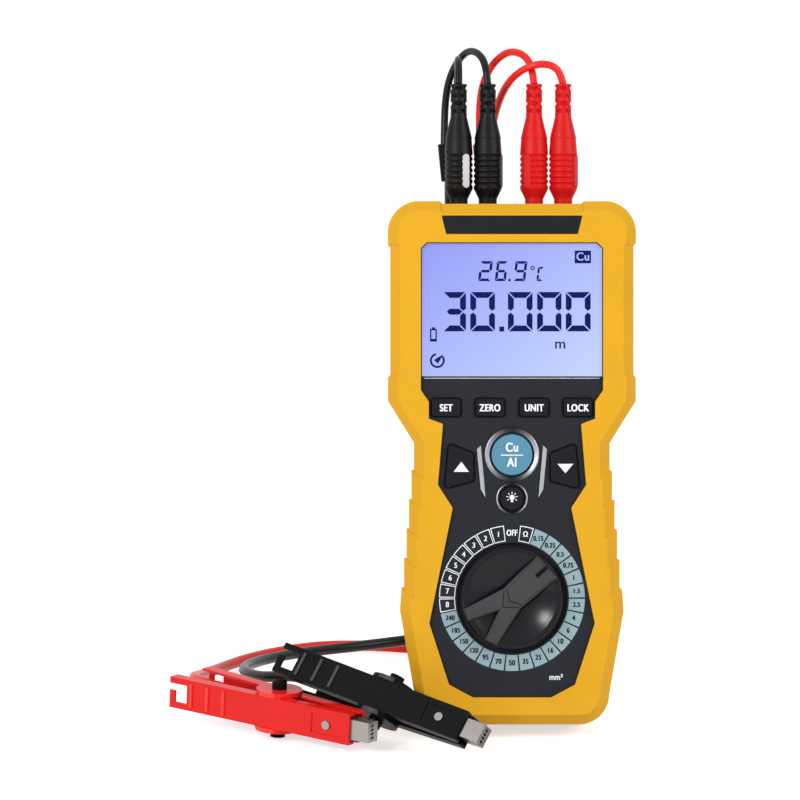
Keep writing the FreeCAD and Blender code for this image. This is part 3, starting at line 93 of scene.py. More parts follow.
class CounterColours(bpy.types.PropertyGroup):
    """The object's colours."""
    case: colour("Case", 215, 159, 26)
    face: colour("Face", 33, 35, 41)
    key: colour("Dark keys", 21, 22, 26)
    blue_key: colour("Blue key", 82, 134, 160)
    knob: colour("Knob", 9, 11, 17)
    pointer: colour("Knob pointer", 62, 62, 64)
    silver: colour("Silver trim", 126, 128, 132)
    print_white: colour("White print", 232, 235, 238)
    print_pale: colour("Pale dial cells", 140, 164, 172)
    red: colour("Red plastic", 220, 26, 22)
    black: colour("Black plastic", 9, 9, 11)
    plate: colour("Name plate", 17, 19, 24)
    bar: colour("Accent bars", 160, 162, 166)
    nickel: colour("Nickel", 152, 149, 145)
    # the ribs' colours are a painted highlight, paler than the arms
    black_rib: colour("Rubbed black ribs", 44, 44, 48)
    red_rib: colour("Rubbed red ribs", 244, 60, 52)
    # a darker copy of the nickel: a painted dark reflection on the black clip's jaws
    dull_nickel: colour("Dull nickel", 104, 100, 99)
    steel: colour("Steel", 120, 120, 124)
    # dark print, and the painted shade in the face's gap, the keys' wells and the knob's creases
    print_dark: colour("Dark print", 9, 11, 14)
    red_soft: colour("Red rubber", 202, 14, 15)
    red_cord: colour("Red cord", 232, 30, 18)
    inlay: colour("Pale inlay", 206, 204, 204)
    board: colour("Circuit board", 28, 92, 52)
    mat: colour("Key mat", 120, 122, 124)
    screen: colour("Lit screen", 170, 185, 255)
    screen_upper: colour("Lit screen, upper left", 140, 152, 248)
    screen_lower: colour("Lit screen, lower right", 196, 214, 255)
    segment: colour("Display segments", 12, 22, 88)


class CounterSizes(bpy.types.PropertyGroup):
    """The sizes of the printed and shown details."""
    case_height: length("Case height", "Height of the case along its face", 230.6)
    dial_height: length("Dial height", "Height of the dial's centre above the case's foot", 55.8)
    face_depth: length("Face depth", "How far the face lies behind the case's rim", 1.5)
    print_thick: length("Print", "Thickness of a printed mark", 0.04)
    ring_inner: length("Dial ring, inside", "Inner radius of the dial's ring of cells", 25.1)
    ring_outer: length("Dial ring, outside", "Outer radius of the dial's ring of cells", 32.1)
    plug_depth: length("Plug depth", "How far the plugs' axes lie behind the case's rim", 26)
    wire: length("Wire", "Diameter of a thin wire", 3.3)
    lead: length("Lead", "Diameter of a lead", 5)
    coil: length("Coil", "Radius of the middle of a coil's turns", 29)
    film_depth: length("Film depth", "How far the lit film lies behind the case's rim", 2.68)
    screen_depth: length("Screen depth", "How far the shown figures lie behind the case's rim", 2.6)


class StageSettings(bpy.types.PropertyGroup):
    """The camera, lamps and floor."""
    width: length("View width", "Width of the view at the meter's face", 352)
    centre_x: length("View centre, across", "Place of the view's centre, left or right", -49.3)
    centre_up: length("View centre, up", "Height of the view's centre along the meter", 143)
    distance: length("Distance", "From the camera to the meter's face", 2500)
    key_light: power("Key light", "Power of the left lamp", 9.5)
    fill_light: power("Fill light", "Power of the right lamp", 9.5)
    middle_light: power("Middle light", "Power of the middle lamp", 6)


def sizes():
    """The sizes that are set."""
    return bpy.context.scene.counter_sizes


def colours():
    """The colours that are set."""
    return bpy.context.scene.counter_colours


# ---------------- places

def meter_matrix():
    """The face frame: x right, y up along the meter, z out of the face, 0 at the case's rim."""
    origin = Vector(JOINTS["selector_turn"]["pos_m"]) - FACE_UP * sizes().dial_height
    turn = Matrix((Vector((1, 0, 0)), FACE_UP, FACE_NORMAL)).transposed()
    return Matrix.Translation(origin) @ turn.to_4x4()


def face_point(x, y, depth=0.0):
    """A point of the row frame from its place on the meter, in metres."""
    return meter_matrix() @ Vector((x, y, -depth))


def foot_line():
    """From the row's origin to the line on which the case stands."""
    lowest = min(NODES["rear_case"].data.vertices, key=lambda vertex: vertex.co.z)
    return Vector((0, lowest.co.y, 0))


# ---------------- materials

GRAIN_HEIGHT = 0.1 * MM     # height of the finest marks in a surface
MARKED = 0.1                # how far metal's marks change its roughness
RING_REFLECTION_SHARES = (0.12, 1.5)         # a ring's painted reflection: its darkest and palest shares of the ring's colour
SCREEN_GLOW = 0.95


def give(made, values):
    """Sets a node's inputs by their names or numbers."""
    for name, value in values.items():
        made.inputs[name].default_value = value
    return made


def node(tree, kind, values=None, **settings):
    """A new shader node with its own settings and the values of its inputs."""
    made = tree.nodes.new("ShaderNode" + kind)
    for name, value in settings.items():
        setattr(made, name, value)
    return give(made, values or {})


def link(tree, *ways):
    """Joins nodes; each way names a node, its output, the next node and its input."""
    for start, leaving, end, entering in ways:
        tree.links.new(start.outputs[leaving], end.inputs[entering])


def ramp(tree, first, last, middle=None):
    """A colour ramp from one colour to another, and through a middle one if it is given."""
    made = node(tree, "ValToRGB")
    stops = made.color_ramp.elements
    stops[0].color, stops[1].color = (*first, 1), (*last, 1)
    if middle is not None:
        stops.new(0.5).color = (*middle, 1)
    return made


def material(name, values):
    """A new material, its node tree, and its shader with some values set."""
    made = bpy.data.materials.new(name)
    made.use_nodes = True
    return made, made.node_tree, give(made.node_tree.nodes["Principled BSDF"], values)


def moulded_skin():
    """A node group: the fine spark-eroded grain of moulded plastic, with faint mottling."""
    tree = bpy.data.node_groups.new("moulded_skin", "ShaderNodeTree")
    for flow, kind, name, default in (
            ("INPUT", "Color", "Colour", None), ("INPUT", "Float", "Grain", 3000.0),
            ("INPUT", "Float", "Depth", 0.1), ("INPUT", "Float", "Mottle", 0.05),
            ("OUTPUT", "Color", "Colour", None), ("OUTPUT", "Vector", "Normal", None)):
        made = tree.interface.new_socket(name=name, in_out=flow, socket_type="NodeSocket" + kind)
        if default is not None:
            made.default_value = default
    given, out = tree.nodes.new("NodeGroupInput"), tree.nodes.new("NodeGroupOutput")
    place = node(tree, "TexCoord")
    grain = node(tree, "TexNoise", {"Detail": 3})
    bump = node(tree, "Bump", {"Distance": GRAIN_HEIGHT})
    cloud = node(tree, "TexNoise", {"Scale": 60, "Detail": 4})
    spread = node(tree, "MapRange", {"From Min": 0.3, "From Max": 0.7, "To Min": -1, "To Max": 1})
    shift = node(tree, "Math", {2: 1}, operation="MULTIPLY_ADD")
    tint = node(tree, "HueSaturation")
    link(tree,
         (place, "Object", grain, "Vector"), (given, "Grain", grain, "Scale"),
         (grain, "Fac", bump, "Height"), (given, "Depth", bump, "Strength"),
         (place, "Object", cloud, "Vector"), (cloud, "Fac", spread, "Value"),
         (spread, "Result", shift, 0), (given, "Mottle", shift, 1),
         (given, "Colour", tint, "Color"), (shift, "Value", tint, "Value"),
         (tint, "Color", out, "Colour"), (bump, "Normal", out, "Normal"))
    return tree


def plastic(name, tone, roughness, grain, depth, mottle, coat, specular):
    """Moulded plastic or rubber in one colour."""
    made, tree, shader = material(name, {
        "Roughness": roughness, "Coat Weight": coat, "Coat Roughness": 0.15,
        "Specular IOR Level": specular})
    skin = node(tree, "Group",
                {"Colour": (*tone, 1), "Grain": grain, "Depth": depth, "Mottle": mottle},
                node_tree=bpy.data.node_groups.get("moulded_skin") or moulded_skin())
    link(tree, (skin, "Colour", shader, "Base Color"), (skin, "Normal", shader, "Normal"))
    return made


def metal(name, tone, roughness, reflection_ring=None):
    """Plated or polished metal with fine marks; a ring gets a painted reflection, paler to its left
    and right.
    """
    made, tree, shader = material(name, {"Base Color": (*tone, 1), "Metallic": 1})
    place = node(tree, "TexCoord")
    stretch = node(tree, "Mapping", {"Scale": (1, 1, 12)})
    marks = node(tree, "TexNoise", {"Scale": 700, "Detail": 4})
    level = node(tree, "MapRange", {"To Min": roughness - MARKED, "To Max": roughness + MARKED})
    bump = node(tree, "Bump", {"Strength": 0.08, "Distance": GRAIN_HEIGHT})
    link(tree,
         (place, "Object", stretch, "Vector"), (stretch, "Vector", marks, "Vector"),
         (marks, "Fac", level, "Value"), (level, "Result", shader, "Roughness"),
         (marks, "Fac", bump, "Height"), (bump, "Normal", shader, "Normal"))
    # a ring gets a painted reflection, darker at its top and foot, paler to its left and right
    if reflection_ring:
        painted_ring_reflection(tree, place, shader, tone, reflection_ring)
    return made


def painted_ring_reflection(tree, place, shader, tone, ring):
    """Paints a reflection on a ring by the angle round its middle: darker at its top and foot,
    paler to its left and right.
    """
    low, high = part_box(ring)
    centred = node(tree, "Mapping", {"Location": -(low + high) / 2})
    parts = node(tree, "SeparateXYZ")
    angle = node(tree, "Math", operation="ARCTAN2")
    doubled = node(tree, "Math", {1: 2}, operation="MULTIPLY")
    wave = node(tree, "Math", operation="COSINE")
    share = node(tree, "MapRange", {"From Min": -1})
    shade = ramp(tree, *([level * part for part in tone] for level in RING_REFLECTION_SHARES))
    link(tree,
         (place, "Object", centred, "Vector"), (centred, "Vector", parts, "Vector"),
         (parts, "Z", angle, 0), (parts, "X", angle, 1), (angle, "Value", doubled, 0),
         (doubled, "Value", wave, 0), (wave, "Value", share, "Value"),
         (share, "Result", shade, "Fac"), (shade, "Color", shader, "Base Color"))


def clear_window():
    """The display's clear window: mostly see-through, with a faint reflection."""
    made, tree, shader = material("clear_window", {
        "Base Color": (0.01, 0.01, 0.012, 1), "Roughness": 0.06})
    through = node(tree, "BsdfTransparent")
    mix = node(tree, "MixShader")
    place = node(tree, "TexCoord")
    haze = node(tree, "TexNoise", {"Scale": 40})
    level = node(tree, "MapRange", {"To Min": 0.02, "To Max": 0.05})
    link(tree,
         (place, "Object", haze, "Vector"), (haze, "Fac", level, "Value"),
         (level, "Result", mix, "Fac"), (through, "BSDF", mix, 1), (shader, "BSDF", mix, 2),
         (mix, "Shader", tree.nodes["Material Output"], "Surface"))
    return made


def lit_screen():
    """The backlit display: violet at its upper left, paler blue towards its lower right."""
    made, tree, shader = material("lit_screen", {
        "Base Color": (0.02, 0.02, 0.03, 1), "Roughness": 0.4, "Emission Strength": SCREEN_GLOW})
    low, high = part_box("lcd_panel")
    place = node(tree, "TexCoord")
    parts = node(tree, "SeparateXYZ")
    sideways = node(tree, "MapRange", {"From Min": low.x, "From Max": high.x})
    downwards = node(tree, "MapRange", {"From Min": high.z, "From Max": low.z})
    total = node(tree, "Math", operation="ADD")
    half = node(tree, "Math", {1: 0.5}, operation="MULTIPLY")
    shade = ramp(tree, colours().screen_upper, colours().screen_lower, colours().screen)
    link(tree,
         (place, "Object", parts, "Vector"), (parts, "X", sideways, "Value"),
         (parts, "Z", downwards, "Value"), (sideways, "Result", total, 0),
         (downwards, "Result", total, 1), (total, "Value", half, 0),
         (half, "Value", shade, "Fac"), (shade, "Color", shader, "Emission Color"))
    return made


PLASTICS = {    # finish: material, colour, roughness, grain, its depth, mottle, coat, specular
    "case": ("yellow_case", "case", 0.45, 2600, 0.3, 0.03, 0, 0.2),
    "face": ("face_grain", "face", 0.55, 2400, 0.6, 0.08, 0, 0.12),
    "plate": ("plate_grain", "plate", 0.5, 2200, 0.8, 0.1, 0, 0.15),
    "key": ("dark_key", "key", 0.4, 3000, 0.3, 0.04, 0, 0.12),
    "blue_key": ("blue_key", "blue_key", 0.4, 3000, 0.15, 0.04, 0, 0.25),
    "knob": ("knob_gloss", "knob", 0.2, 3000, 0.04, 0.03, 0, 0.24),
    "pointer": ("knob_matt", "pointer", 0.6, 1800, 0.9, 0.1, 0, 0.15),
    "white": ("white_print", "print_white", 0.6, 2000, 0.05, 0.02, 0, 0.5),
    "pale": ("pale_print", "print_pale", 0.5, 2000, 0.05, 0.03, 0, 0.25),
    # serves print, dark parts and painted shade in gaps and creases
    "dark": ("dark_print", "print_dark", 0.6, 2000, 0.05, 0.02, 0, 0.1),
    "red": ("red_plastic", "red", 0.36, 2400, 0.2, 0.05, 0.2, 0.15),
    "black": ("black_plastic", "black", 0.4, 1500, 0.9, 0.2, 0, 0.06),
    # the ribs' finishes are a painted highlight
    "black_rib": ("black_rib", "black_rib", 0.4, 3000, 0.15, 0.04, 0, 0.3),
    "red_rib": ("red_rib", "red_rib", 0.4, 3000, 0.15, 0.04, 0, 0.3),
    "red_soft": ("red_rubber", "red_soft", 0.42, 1800, 0.2, 0.05, 0, 0.2),
    "black_soft": ("black_rubber", "black", 0.42, 1800, 0.2, 0.05, 0, 0.16),
    "red_cord": ("red_cord", "red_cord", 0.32, 900, 0.1, 0.03, 0, 0.3),
    "black_cord": ("black_cord", "black", 0.3, 900, 0.1, 0.03, 0, 0.25),
    "inlay": ("pale_inlay", "inlay", 0.5, 2600, 0.3, 0.05, 0, 0.3),
    "board": ("board_lacquer", "board", 0.3, 900, 0.2, 0.2, 0.4, 0.5),
    "mat": ("mat_rubber", "mat", 0.6, 1500, 0.3, 0.1, 0, 0.5),
    "diffuser": ("light_guide", "print_white", 0.3, 900, 0.1, 0.04, 0, 0.5),
    "segment": ("display_segment", "segment", 0.6, 2000, 0.02, 0.02, 0, 0.05),
}
METALS = {      # finish: material, colour, roughness and, for a ring with a painted reflection, its node
    "bar": ("accent_silver", "bar", 0.45),
    "large_ring": ("large_ring_silver", "silver", 0.35, "metal_key_ring"),
    "small_ring": ("small_ring_silver", "silver", 0.35, "light_key_ring"),
    "nickel": ("nickel", "nickel", 0.36),
    # a darker copy of the nickel, a painted dark reflection
    "dull_nickel": ("dull_nickel", "dull_nickel", 0.3),
    "steel": ("screw_steel", "steel", 0.35),
    "cell": ("cell_jacket", "steel", 0.35),
}
FINISHES = {}


def finish(key):
    """One of the object's finishes, made when it is first asked for."""
    if key not in FINISHES:
        if key in ("window", "screen"):
            FINISHES[key] = clear_window() if key == "window" else lit_screen()
        else:
            maker, row = (metal, METALS[key]) if key in METALS else (plastic, PLASTICS[key])
            name, tone, *values = row
            FINISHES[key] = maker(name, getattr(colours(), tone), *values)
    return FINISHES[key]


def dress(key, *names):
    """Gives CAD nodes one of the finishes."""
    for name in names:
        slots = NODES[name].data.materials
        slots.clear()
        slots.append(finish(key))


# ---------------- making pieces

def only(made):
    """Selects one object and nothing else."""
    bpy.ops.object.select_all(action="DESELECT")
    made.select_set(True)
    bpy.context.view_layer.objects.active = made


def settled(made, matrix, key, body, name):
    """Puts an object's place into its mesh, gives it a finish and lets it ride on a body."""
    only(made)
    made.name = name
    if made.type != "MESH":
        bpy.ops.object.convert(target="MESH")
        made = bpy.context.object
    made.matrix_world = matrix @ made.matrix_world
    bpy.ops.object.transform_apply(location=True, rotation=True, scale=True)
    made.data.materials.clear()
    made.data.materials.append(finish(key))
    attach(made, body)
    return made


def joined(pieces, name):
    """Makes one object of several."""
    bpy.ops.object.select_all(action="DESELECT")
    for piece in pieces:
        piece.select_set(True)
    bpy.context.view_layer.objects.active = pieces[0]
    if len(pieces) > 1:
        bpy.ops.object.join()
    bpy.context.object.name = name
    return bpy.context.object


def flat(*outlines):
    """A flat mark of closed outlines; one that lies inside another is a hole."""
    drawn = bpy.data.curves.new("mark", "CURVE")
    drawn.dimensions = "2D"
    drawn.fill_mode = "BOTH"
    drawn.extrude = sizes().print_thick / 2
    for points in outlines:
        spline = drawn.splines.new("POLY")
        spline.points.add(len(points) - 1)
        for point, (x, y) in zip(spline.points, points):
            point.co = (x * MM, y * MM, 0, 1)
        spline.use_cyclic_u = True
    made = bpy.data.objects.new("mark", drawn)
    bpy.context.scene.collection.objects.link(made)
    return made


FONT_SIZE = 1.43        # the font's size for capitals one unit high


def words(text, x, y, size, bold, wide=1.0):
    """Text with its middle at a place of the face; its size and bold are in millimetres."""
    bpy.ops.object.select_all(action="DESELECT")
    bpy.ops.object.text_add(location=(x * MM, y * MM, 0))
    made = bpy.context.object
    made.data.body = text
    made.data.size = size * MM * FONT_SIZE
    made.data.space_character = 1 + bold / 2
    made.data.align_x = "CENTER"
    made.data.align_y = "CENTER"
    made.data.extrude = sizes().print_thick / 2
    made.scale.x = wide
    step = Vector((bold, bold * 0.6, 0)) * MM
    for count, offset in ((3, (step.x, 0, LIFT)), (2, (0, step.y, 3 * LIFT))):
        strokes = made.modifiers.new("bold", "ARRAY")
        strokes.count = count
        strokes.use_relative_offset = False
        strokes.use_constant_offset = True
        strokes.constant_offset_displace = offset
    made.location -= Vector((step.x * wide, step.y / 2, 0))
    return made


def arc_points(radius, start, stop, steps, x=0.0, y=0.0):
    """Points on a circle, from one angle to another in degrees."""
    return [(x + radius * math.cos(math.radians(start + (stop - start) * step / steps)),
             y + radius * math.sin(math.radians(start + (stop - start) * step / steps)))
            for step in range(steps + 1)]


def ring_sector(inner, outer, middle, span, x=0.0, y=0.0):
    """The outline of one cell of a ring; the angles run clockwise from the top."""
    start, stop = 90 - middle + span / 2, 90 - middle - span / 2
    return arc_points(outer, start, stop, 4, x, y) + arc_points(inner, stop, start, 3, x, y)


def circle_points(radius, x=0.0, y=0.0, steps=16):
    """Points all round a circle."""
    return arc_points(radius, 0, 360 - 360 / steps, steps - 1, x, y)


def oblong(left, low, right, top):
    """The outline of an upright oblong."""
    return [(left, low), (right, low), (right, top), (left, top)]


def printed(pieces, key, body, name, depth=None):
    """Joins flat marks, lays them on the face or at another depth and gives them a finish."""
    depth = sizes().face_depth if depth is None else depth
    for piece in pieces:
        only(piece)
        bpy.ops.object.convert(target="MESH")
        bpy.ops.object.transform_apply(location=True, rotation=True, scale=True)
    made = joined(pieces, name)
    lift = Matrix.Translation((0, 0, sizes().print_thick / 2 + 0.01 * MM - depth))
    return settled(made, meter_matrix() @ lift, key, body, name)


def reshaped(made, kind, **settings):
    """Changes an object, which is the active one, by a modifier."""
    change = made.modifiers.new(kind.lower(), kind)
    for name, value in settings.items():
        setattr(change, name, value)
    bpy.ops.object.modifier_apply(modifier=change.name)


# ---------------- the dial

GAUGES = ("0.15", "0.25", "0.5", "0.75", "1", "1.5", "2.5", "4", "6", "10", "16", "25", "35",
          "50", "70", "95", "120", "150", "185", "240")
STORES = ("8", "7", "6", "5", "4", "3", "2", "1")
PLACE_TURN = 12         # degrees from one place of the dial to the next, clockwise from OFF
FIRST_GAUGE, FIRST_STORE = 2, 22
CELL_TURN, FRAME_TURN, FRAME_HOLE_TURN = 10.7, 11.1, 9.7
FRAME_WIDE = 0.38


def dial_marks():
    """The ring of thirty places: OFF, ohms, twenty wire sizes and eight stores."""
    place = sizes()
    height = place.dial_height / MM
    inner, outer = place.ring_inner / MM, place.ring_outer / MM
    middle_radius = (inner + outer) / 2
    pale, white, dark = [], [], []

    def spot(angle):
        """The middle of the cell at an angle."""
        return (middle_radius * math.sin(math.radians(angle)),
                height + middle_radius * math.cos(math.radians(angle)))

    for number, text in enumerate(GAUGES, FIRST_GAUGE):
        angle = PLACE_TURN * number
        pale.append(flat(ring_sector(inner, outer, angle, CELL_TURN, 0, height)))
        size = 2.25 if len(text) < 3 else 2.1
        dark.append(words(text, *spot(angle), size, wide=0.82, bold=0.16))
    for number, text in ((1, "Ω"), *enumerate(STORES, FIRST_STORE)):
        angle = PLACE_TURN * number
        white.append(flat(ring_sector(inner, outer, angle, FRAME_TURN, 0, height),
                          ring_sector(inner + FRAME_WIDE, outer - FRAME_WIDE, angle,
                                      FRAME_HOLE_TURN, 0, height)))
        white.append(words(text, *spot(angle), 2.3, wide=0.9, bold=0.1))
    white.append(words("OFF", *spot(0), 2.6, wide=0.7, bold=0.18))
    white.append(words("mm²", 19.4, 20.9, 2.6, wide=0.85, bold=0.08))
    white.append(flat(oblong(-38.6, 152.5, 38.6, 152.7)))
    printed(pale, "pale", "meter", "dial_cells")
    printed(white, "white", "meter", "dial_white_marks")
    made = printed(dark, "dark", "meter", "dial_numbers")
    made.data.transform(Matrix.Translation(FACE_NORMAL * place.print_thick))


# ---------------- the display

SEGMENTS = {"0": "abcdef", "2": "abged", "3": "abgcd", "6": "afgedc", "9": "abcdfg", "C": "afed"}


def segment_digit(text, left, low, wide, high, bar, slant):
    """The lit bars of one seven-segment digit, as outlines that meet along slanting gaps."""
    gap, half = bar * 0.14, bar / 2
    right, top, mid = left + wide, low + high, low + high / 2

    def level(y, inward):
        """A lying bar at the digit's top or foot."""
        return [(left + gap, y), (right - gap, y), (right - bar - gap, y + inward),
                (left + bar + gap, y + inward)]

    def post(x, inward, end, sign):
        """A standing bar from a corner of the digit to the middle."""
        near = mid + sign * gap
        return [(x, end - sign * gap), (x + inward, end - sign * (bar + gap)),
                (x + inward, near + sign * half), (x + inward / 2, near),
                (x, near + sign * half * 0.7)]

    shapes = {"a": level(top, -bar), "d": level(low, bar), "f": post(left, bar, top, 1),
              "b": post(right, -bar, top, 1), "e": post(left, bar, low, -1),
              "c": post(right, -bar, low, -1),
              "g": [(left + half + gap, mid), (left + bar + gap, mid + half),
                    (right - bar - gap, mid + half), (right - half - gap, mid),
                    (right - bar - gap, mid - half), (left + bar + gap, mid - half)]}
    return [[(x + (y - low) * slant, y) for x, y in shapes[name]] for name in SEGMENTS[text]]


DRAWING_UNIT = 0.44         # millimetres in one unit of the display's drawing
DRAWING_MIDDLE, DRAWING_FOOT = 512, 725     # where the meter's middle line and foot lie in it
FILM = ((39.17, 153.43), (39.17, 208.98), (36.58, 211.57))
LIT_EDGE_OUTER = ((39.22, 153.5), (39.65, 153.5), (39.65, 209.66), (37.2, 211.95))
LIT_EDGE_INNER = ((36.65, 211.62), (39.22, 209.02))
LENGTH_DIGITS = (("3", 442.9, 466), ("0", 470.3, 495), ("0", 508, 532.6), ("0", 537.2, 561.6),
                 ("0", 565.9, 590.8))
WARMTH_DIGITS = (("2", 478, 490.6), ("6", 494.8, 505.8), ("9", 513.2, 525.2))


def on_screen(across, down):
    """Millimetres on the face from a place in the display's drawing."""
    return (across - DRAWING_MIDDLE) * DRAWING_UNIT, (DRAWING_FOOT - down) * DRAWING_UNIT


def both_sides(half):
    """An outline from its right half, mirrored to the left."""
    return [*half, *((-x, y) for x, y in reversed(half))]


def display_marks():
    """What the display shows: the length, the temperature, the metal, a battery and a clock."""
    place = sizes()
    printed([flat(both_sides(FILM))], "screen", "meter", "display_film", place.film_depth)
    edge = both_sides(LIT_EDGE_OUTER) + [(-x, y) for x, y in reversed(LIT_EDGE_INNER)]
    printed([flat(edge + list(LIT_EDGE_INNER))], "screen", "meter", "display_lit_edge")
    marks = []

    def mark(*outlines):
        """Adds one mark."""
        marks.append(flat(*outlines))

    def digit(text, left, right, top, bottom, bar, slant=0.0):
        """Adds one digit, its place told as the drawing has it."""
        x0, y0 = on_screen(left, bottom)
        x1, y1 = on_screen(right, top)
        for outline in segment_digit(text, x0, y0, x1 - x0, y1 - y0, bar, slant):
            mark(outline)

    for text, left, right in LENGTH_DIGITS:
        digit(text, left, right, 291.9, 331.3, 2.6)
    x, y = on_screen(501.8, 329)
    mark(oblong(x - 1.1, y - 1.1, x + 1.1, y + 1.1))
    for text, left, right in WARMTH_DIGITS:
        digit(text, left, right, 261, 281, 1.15, 0.12)
    digit("C", 536.4, 542.6, 266.8, 281, 0.95, 0.12)
    mark(circle_points(0.6, *on_screen(509.6, 280), 12))
    x, y = on_screen(532.6, 268)
    mark(circle_points(0.95, x, y), circle_points(0.5, x, y))
    marks.append(words("m", *on_screen(560.3, 344), 4.6, bold=0.08))
    sign_x, sign_y = on_screen(583, 256.8)
    mark(oblong(sign_x - 3.6, sign_y - 2.8, sign_x + 3.6, sign_y + 2.8))
    x, y = on_screen(433.4, 334.5)
    mark(oblong(x - 1.5, y - 3.1, x + 1.5, y + 2.5), oblong(x - 0.9, y - 2.5, x + 0.9, y + 1.9))
    mark(oblong(x - 0.7, y + 2.5, x + 0.7, y + 3.2))
    mark(oblong(x - 1, y - 2.6, x + 1, y - 1.9))
    x, y = on_screen(437.3, 360.5)
    mark(arc_points(3.3, 100, 400, 24, x, y) + arc_points(2.4, 400, 100, 24, x, y))
    mark([(x - 1.5, y + 0.2), (x + 0.3, y - 1.4), (x + 2.6, y + 2.8)])
    printed(marks, "segment", "meter", "display_segments", place.screen_depth)
    made = printed([words("Cu", sign_x, sign_y, 3.5, wide=0.95, bold=0.14)], "screen", "meter",
                   "display_metal_sign", place.screen_depth)
    made.data.transform(Matrix.Translation(FACE_NORMAL * place.print_thick * 1.2))


# ---------------- painted shade round the keys

KEYS = ("row_key_1", "row_key_2", "row_key_3", "row_key_4", "up_key", "down_key", "light_key")
KEY_HEAD_DEPTH = 1.4    # a key's head is what lies less deep than this behind the case's rim


def hull(points):
    """The outline that a string makes when it is pulled tight round some points."""
    def chain(row):
        """One half of the outline, from the row's first point to its last."""
        kept = []
        for x, y in row:
            while len(kept) > 1 and ((kept[-1][0] - kept[-2][0]) * (y - kept[-2][1])
                                     <= (kept[-1][1] - kept[-2][1]) * (x - kept[-2][0])):
                kept.pop()
            kept.append((x, y))
        return kept[:-1]
    row = sorted(set(points))
    return chain(row) + chain(row[::-1])


def grown(outline, extra):
    """A convex outline moved outwards all round by some millimetres."""
    return hull([(x + dx, y + dy) for x, y in outline for dx, dy in circle_points(extra)])


def key_surrounds():
    """A painted shade line round each key, where its well meets the face."""
    to_face = meter_matrix().inverted()
    rings = []
    for key in KEYS:
        corners = [to_face @ vertex.co for vertex in NODES[key].data.vertices]
        head = hull([(corner.x / MM, corner.y / MM) for corner in corners
                     if corner.z > -KEY_HEAD_DEPTH * MM])
        rings.append(flat(grown(head, 0.9), grown(head, 0.25)))
    printed(rings, "dark", "meter", "key_surrounds")


# ---------------- key legends

SIGN_DEPTH = 0.3 * MM       # of the keys' signs behind the case's rim
KEY_WORDS = (("row_key_1", -29.0, "SET"), ("row_key_2", -9.7, "ZERO"), ("row_key_3", 9.7, "UNIT"),
             ("row_key_4", 29.0, "LOCK"))
ARROWS = (("up", ((-25.7, 111.4), (-19, 111.4), (-22.3, 115.8))),
          ("down", ((20, 114.9), (27, 114.9), (23.5, 110.8))))
LAMP_MIDDLE = (0, 100.1)
RAYS = 7


def key_marks():
    """Plain words on the row of keys, arrows, the metal key's two signs and a lamp sign."""
    for key, x, text in KEY_WORDS:
        printed([words(text, x, 139.4, 3.1, wide=0.76, bold=0.2)], "white", key + "_cap",
                key + "_word", SIGN_DEPTH)
    for way, corners in ARROWS:
        printed([flat(corners)], "white", way + "_key_cap", way + "_arrow", SIGN_DEPTH)
    printed([words("Cu", 0, 122, 3.9, wide=0.8, bold=0.2),
             words("Al", 0, 115.4, 3.9, wide=0.8, bold=0.2),
             flat(oblong(-4.9, 118.5, 4.9, 118.95))],
            "white", "metal_key_cap", "metal_key_signs", SIGN_DEPTH)
    lamp = [flat(circle_points(1.15, *LAMP_MIDDLE, 20)), flat(oblong(-0.6, 98.1, 0.6, 98.8))]
    for number in range(RAYS):
        angle = math.radians(-30 + 40 * number)
        ray = Vector((math.cos(angle), math.sin(angle)))
        side = Vector((-ray.y, ray.x)) * 0.17
        foot = Vector(LAMP_MIDDLE) + ray * 1.6
        tip = foot + ray * 0.9
        lamp.append(flat([foot - side, tip - side, tip + side, foot + side]))
    printed(lamp, "white", "light_key_cap", "lamp_sign", SIGN_DEPTH)


# ---------------- the plugs' grips

# each plug's name, place across the meter, turn of its strip and the strip's finish
STRIPS = (("black_outer", -23.2, 31, "inlay"), ("black_inner", -10.3, 72, "black_soft"),
          ("red_inner", 10.3, -28, "red_soft"), ("red_outer", 23.2, 66, "red_soft"))
# millimetres: a strip's ends stand above the case's foot, the rest above the case's top
STRIP_HALF, STRIP_LOW, STRIP_HIGH = 1.55, 238.7, 250.6
STRIP_THICK, STRIP_OUT, STRIP_EDGE = 1.2, 5.9, 0.3
RING_UP, RING_RADIUS, RING_HIGH, RING_WALL, RING_EDGE = 28.6, 5.72, 0.55, 0.5, 0.18
GROOVES, GROOVE_UP, GROOVE_PITCH = 4, 40.75, 3.4
BRIDGE_OUT, BRIDGE_SIZE, BRIDGE_EDGE = 3, (1.1, 1.9, 1.9), 0.25


def plug_places():
    """Each plug's name, its axis' frame as the face frame has it, its strip's turn and finish."""
    for name, across, turn, key in STRIPS:
        place = meter_matrix() @ Matrix.Translation((across * MM, 0, -sizes().plug_depth))
        yield name, place, math.radians(turn), key


def grip_strips():
    """A smooth oblong let into the ribs of each plug; the outer black plug's is pale."""
    for name, place, turn, key in plug_places():
        strip = flat(arc_points(STRIP_HALF, 0, 180, 12, 0, STRIP_HIGH)
                     + arc_points(STRIP_HALF, 180, 360, 12, 0, STRIP_LOW))
        strip.data.extrude = STRIP_THICK / 2 * MM
        only(strip)
        bpy.ops.object.convert(target="MESH")
        reshaped(strip, "BEVEL", width=STRIP_EDGE * MM, segments=3)
        bpy.ops.object.shade_smooth_by_angle(angle=SMOOTH)
        out = Matrix.Rotation(turn, 4, "Y") @ Matrix.Translation((0, 0, STRIP_OUT * MM))
        settled(strip, place @ out, key, "meter", name + "_plug_strip")


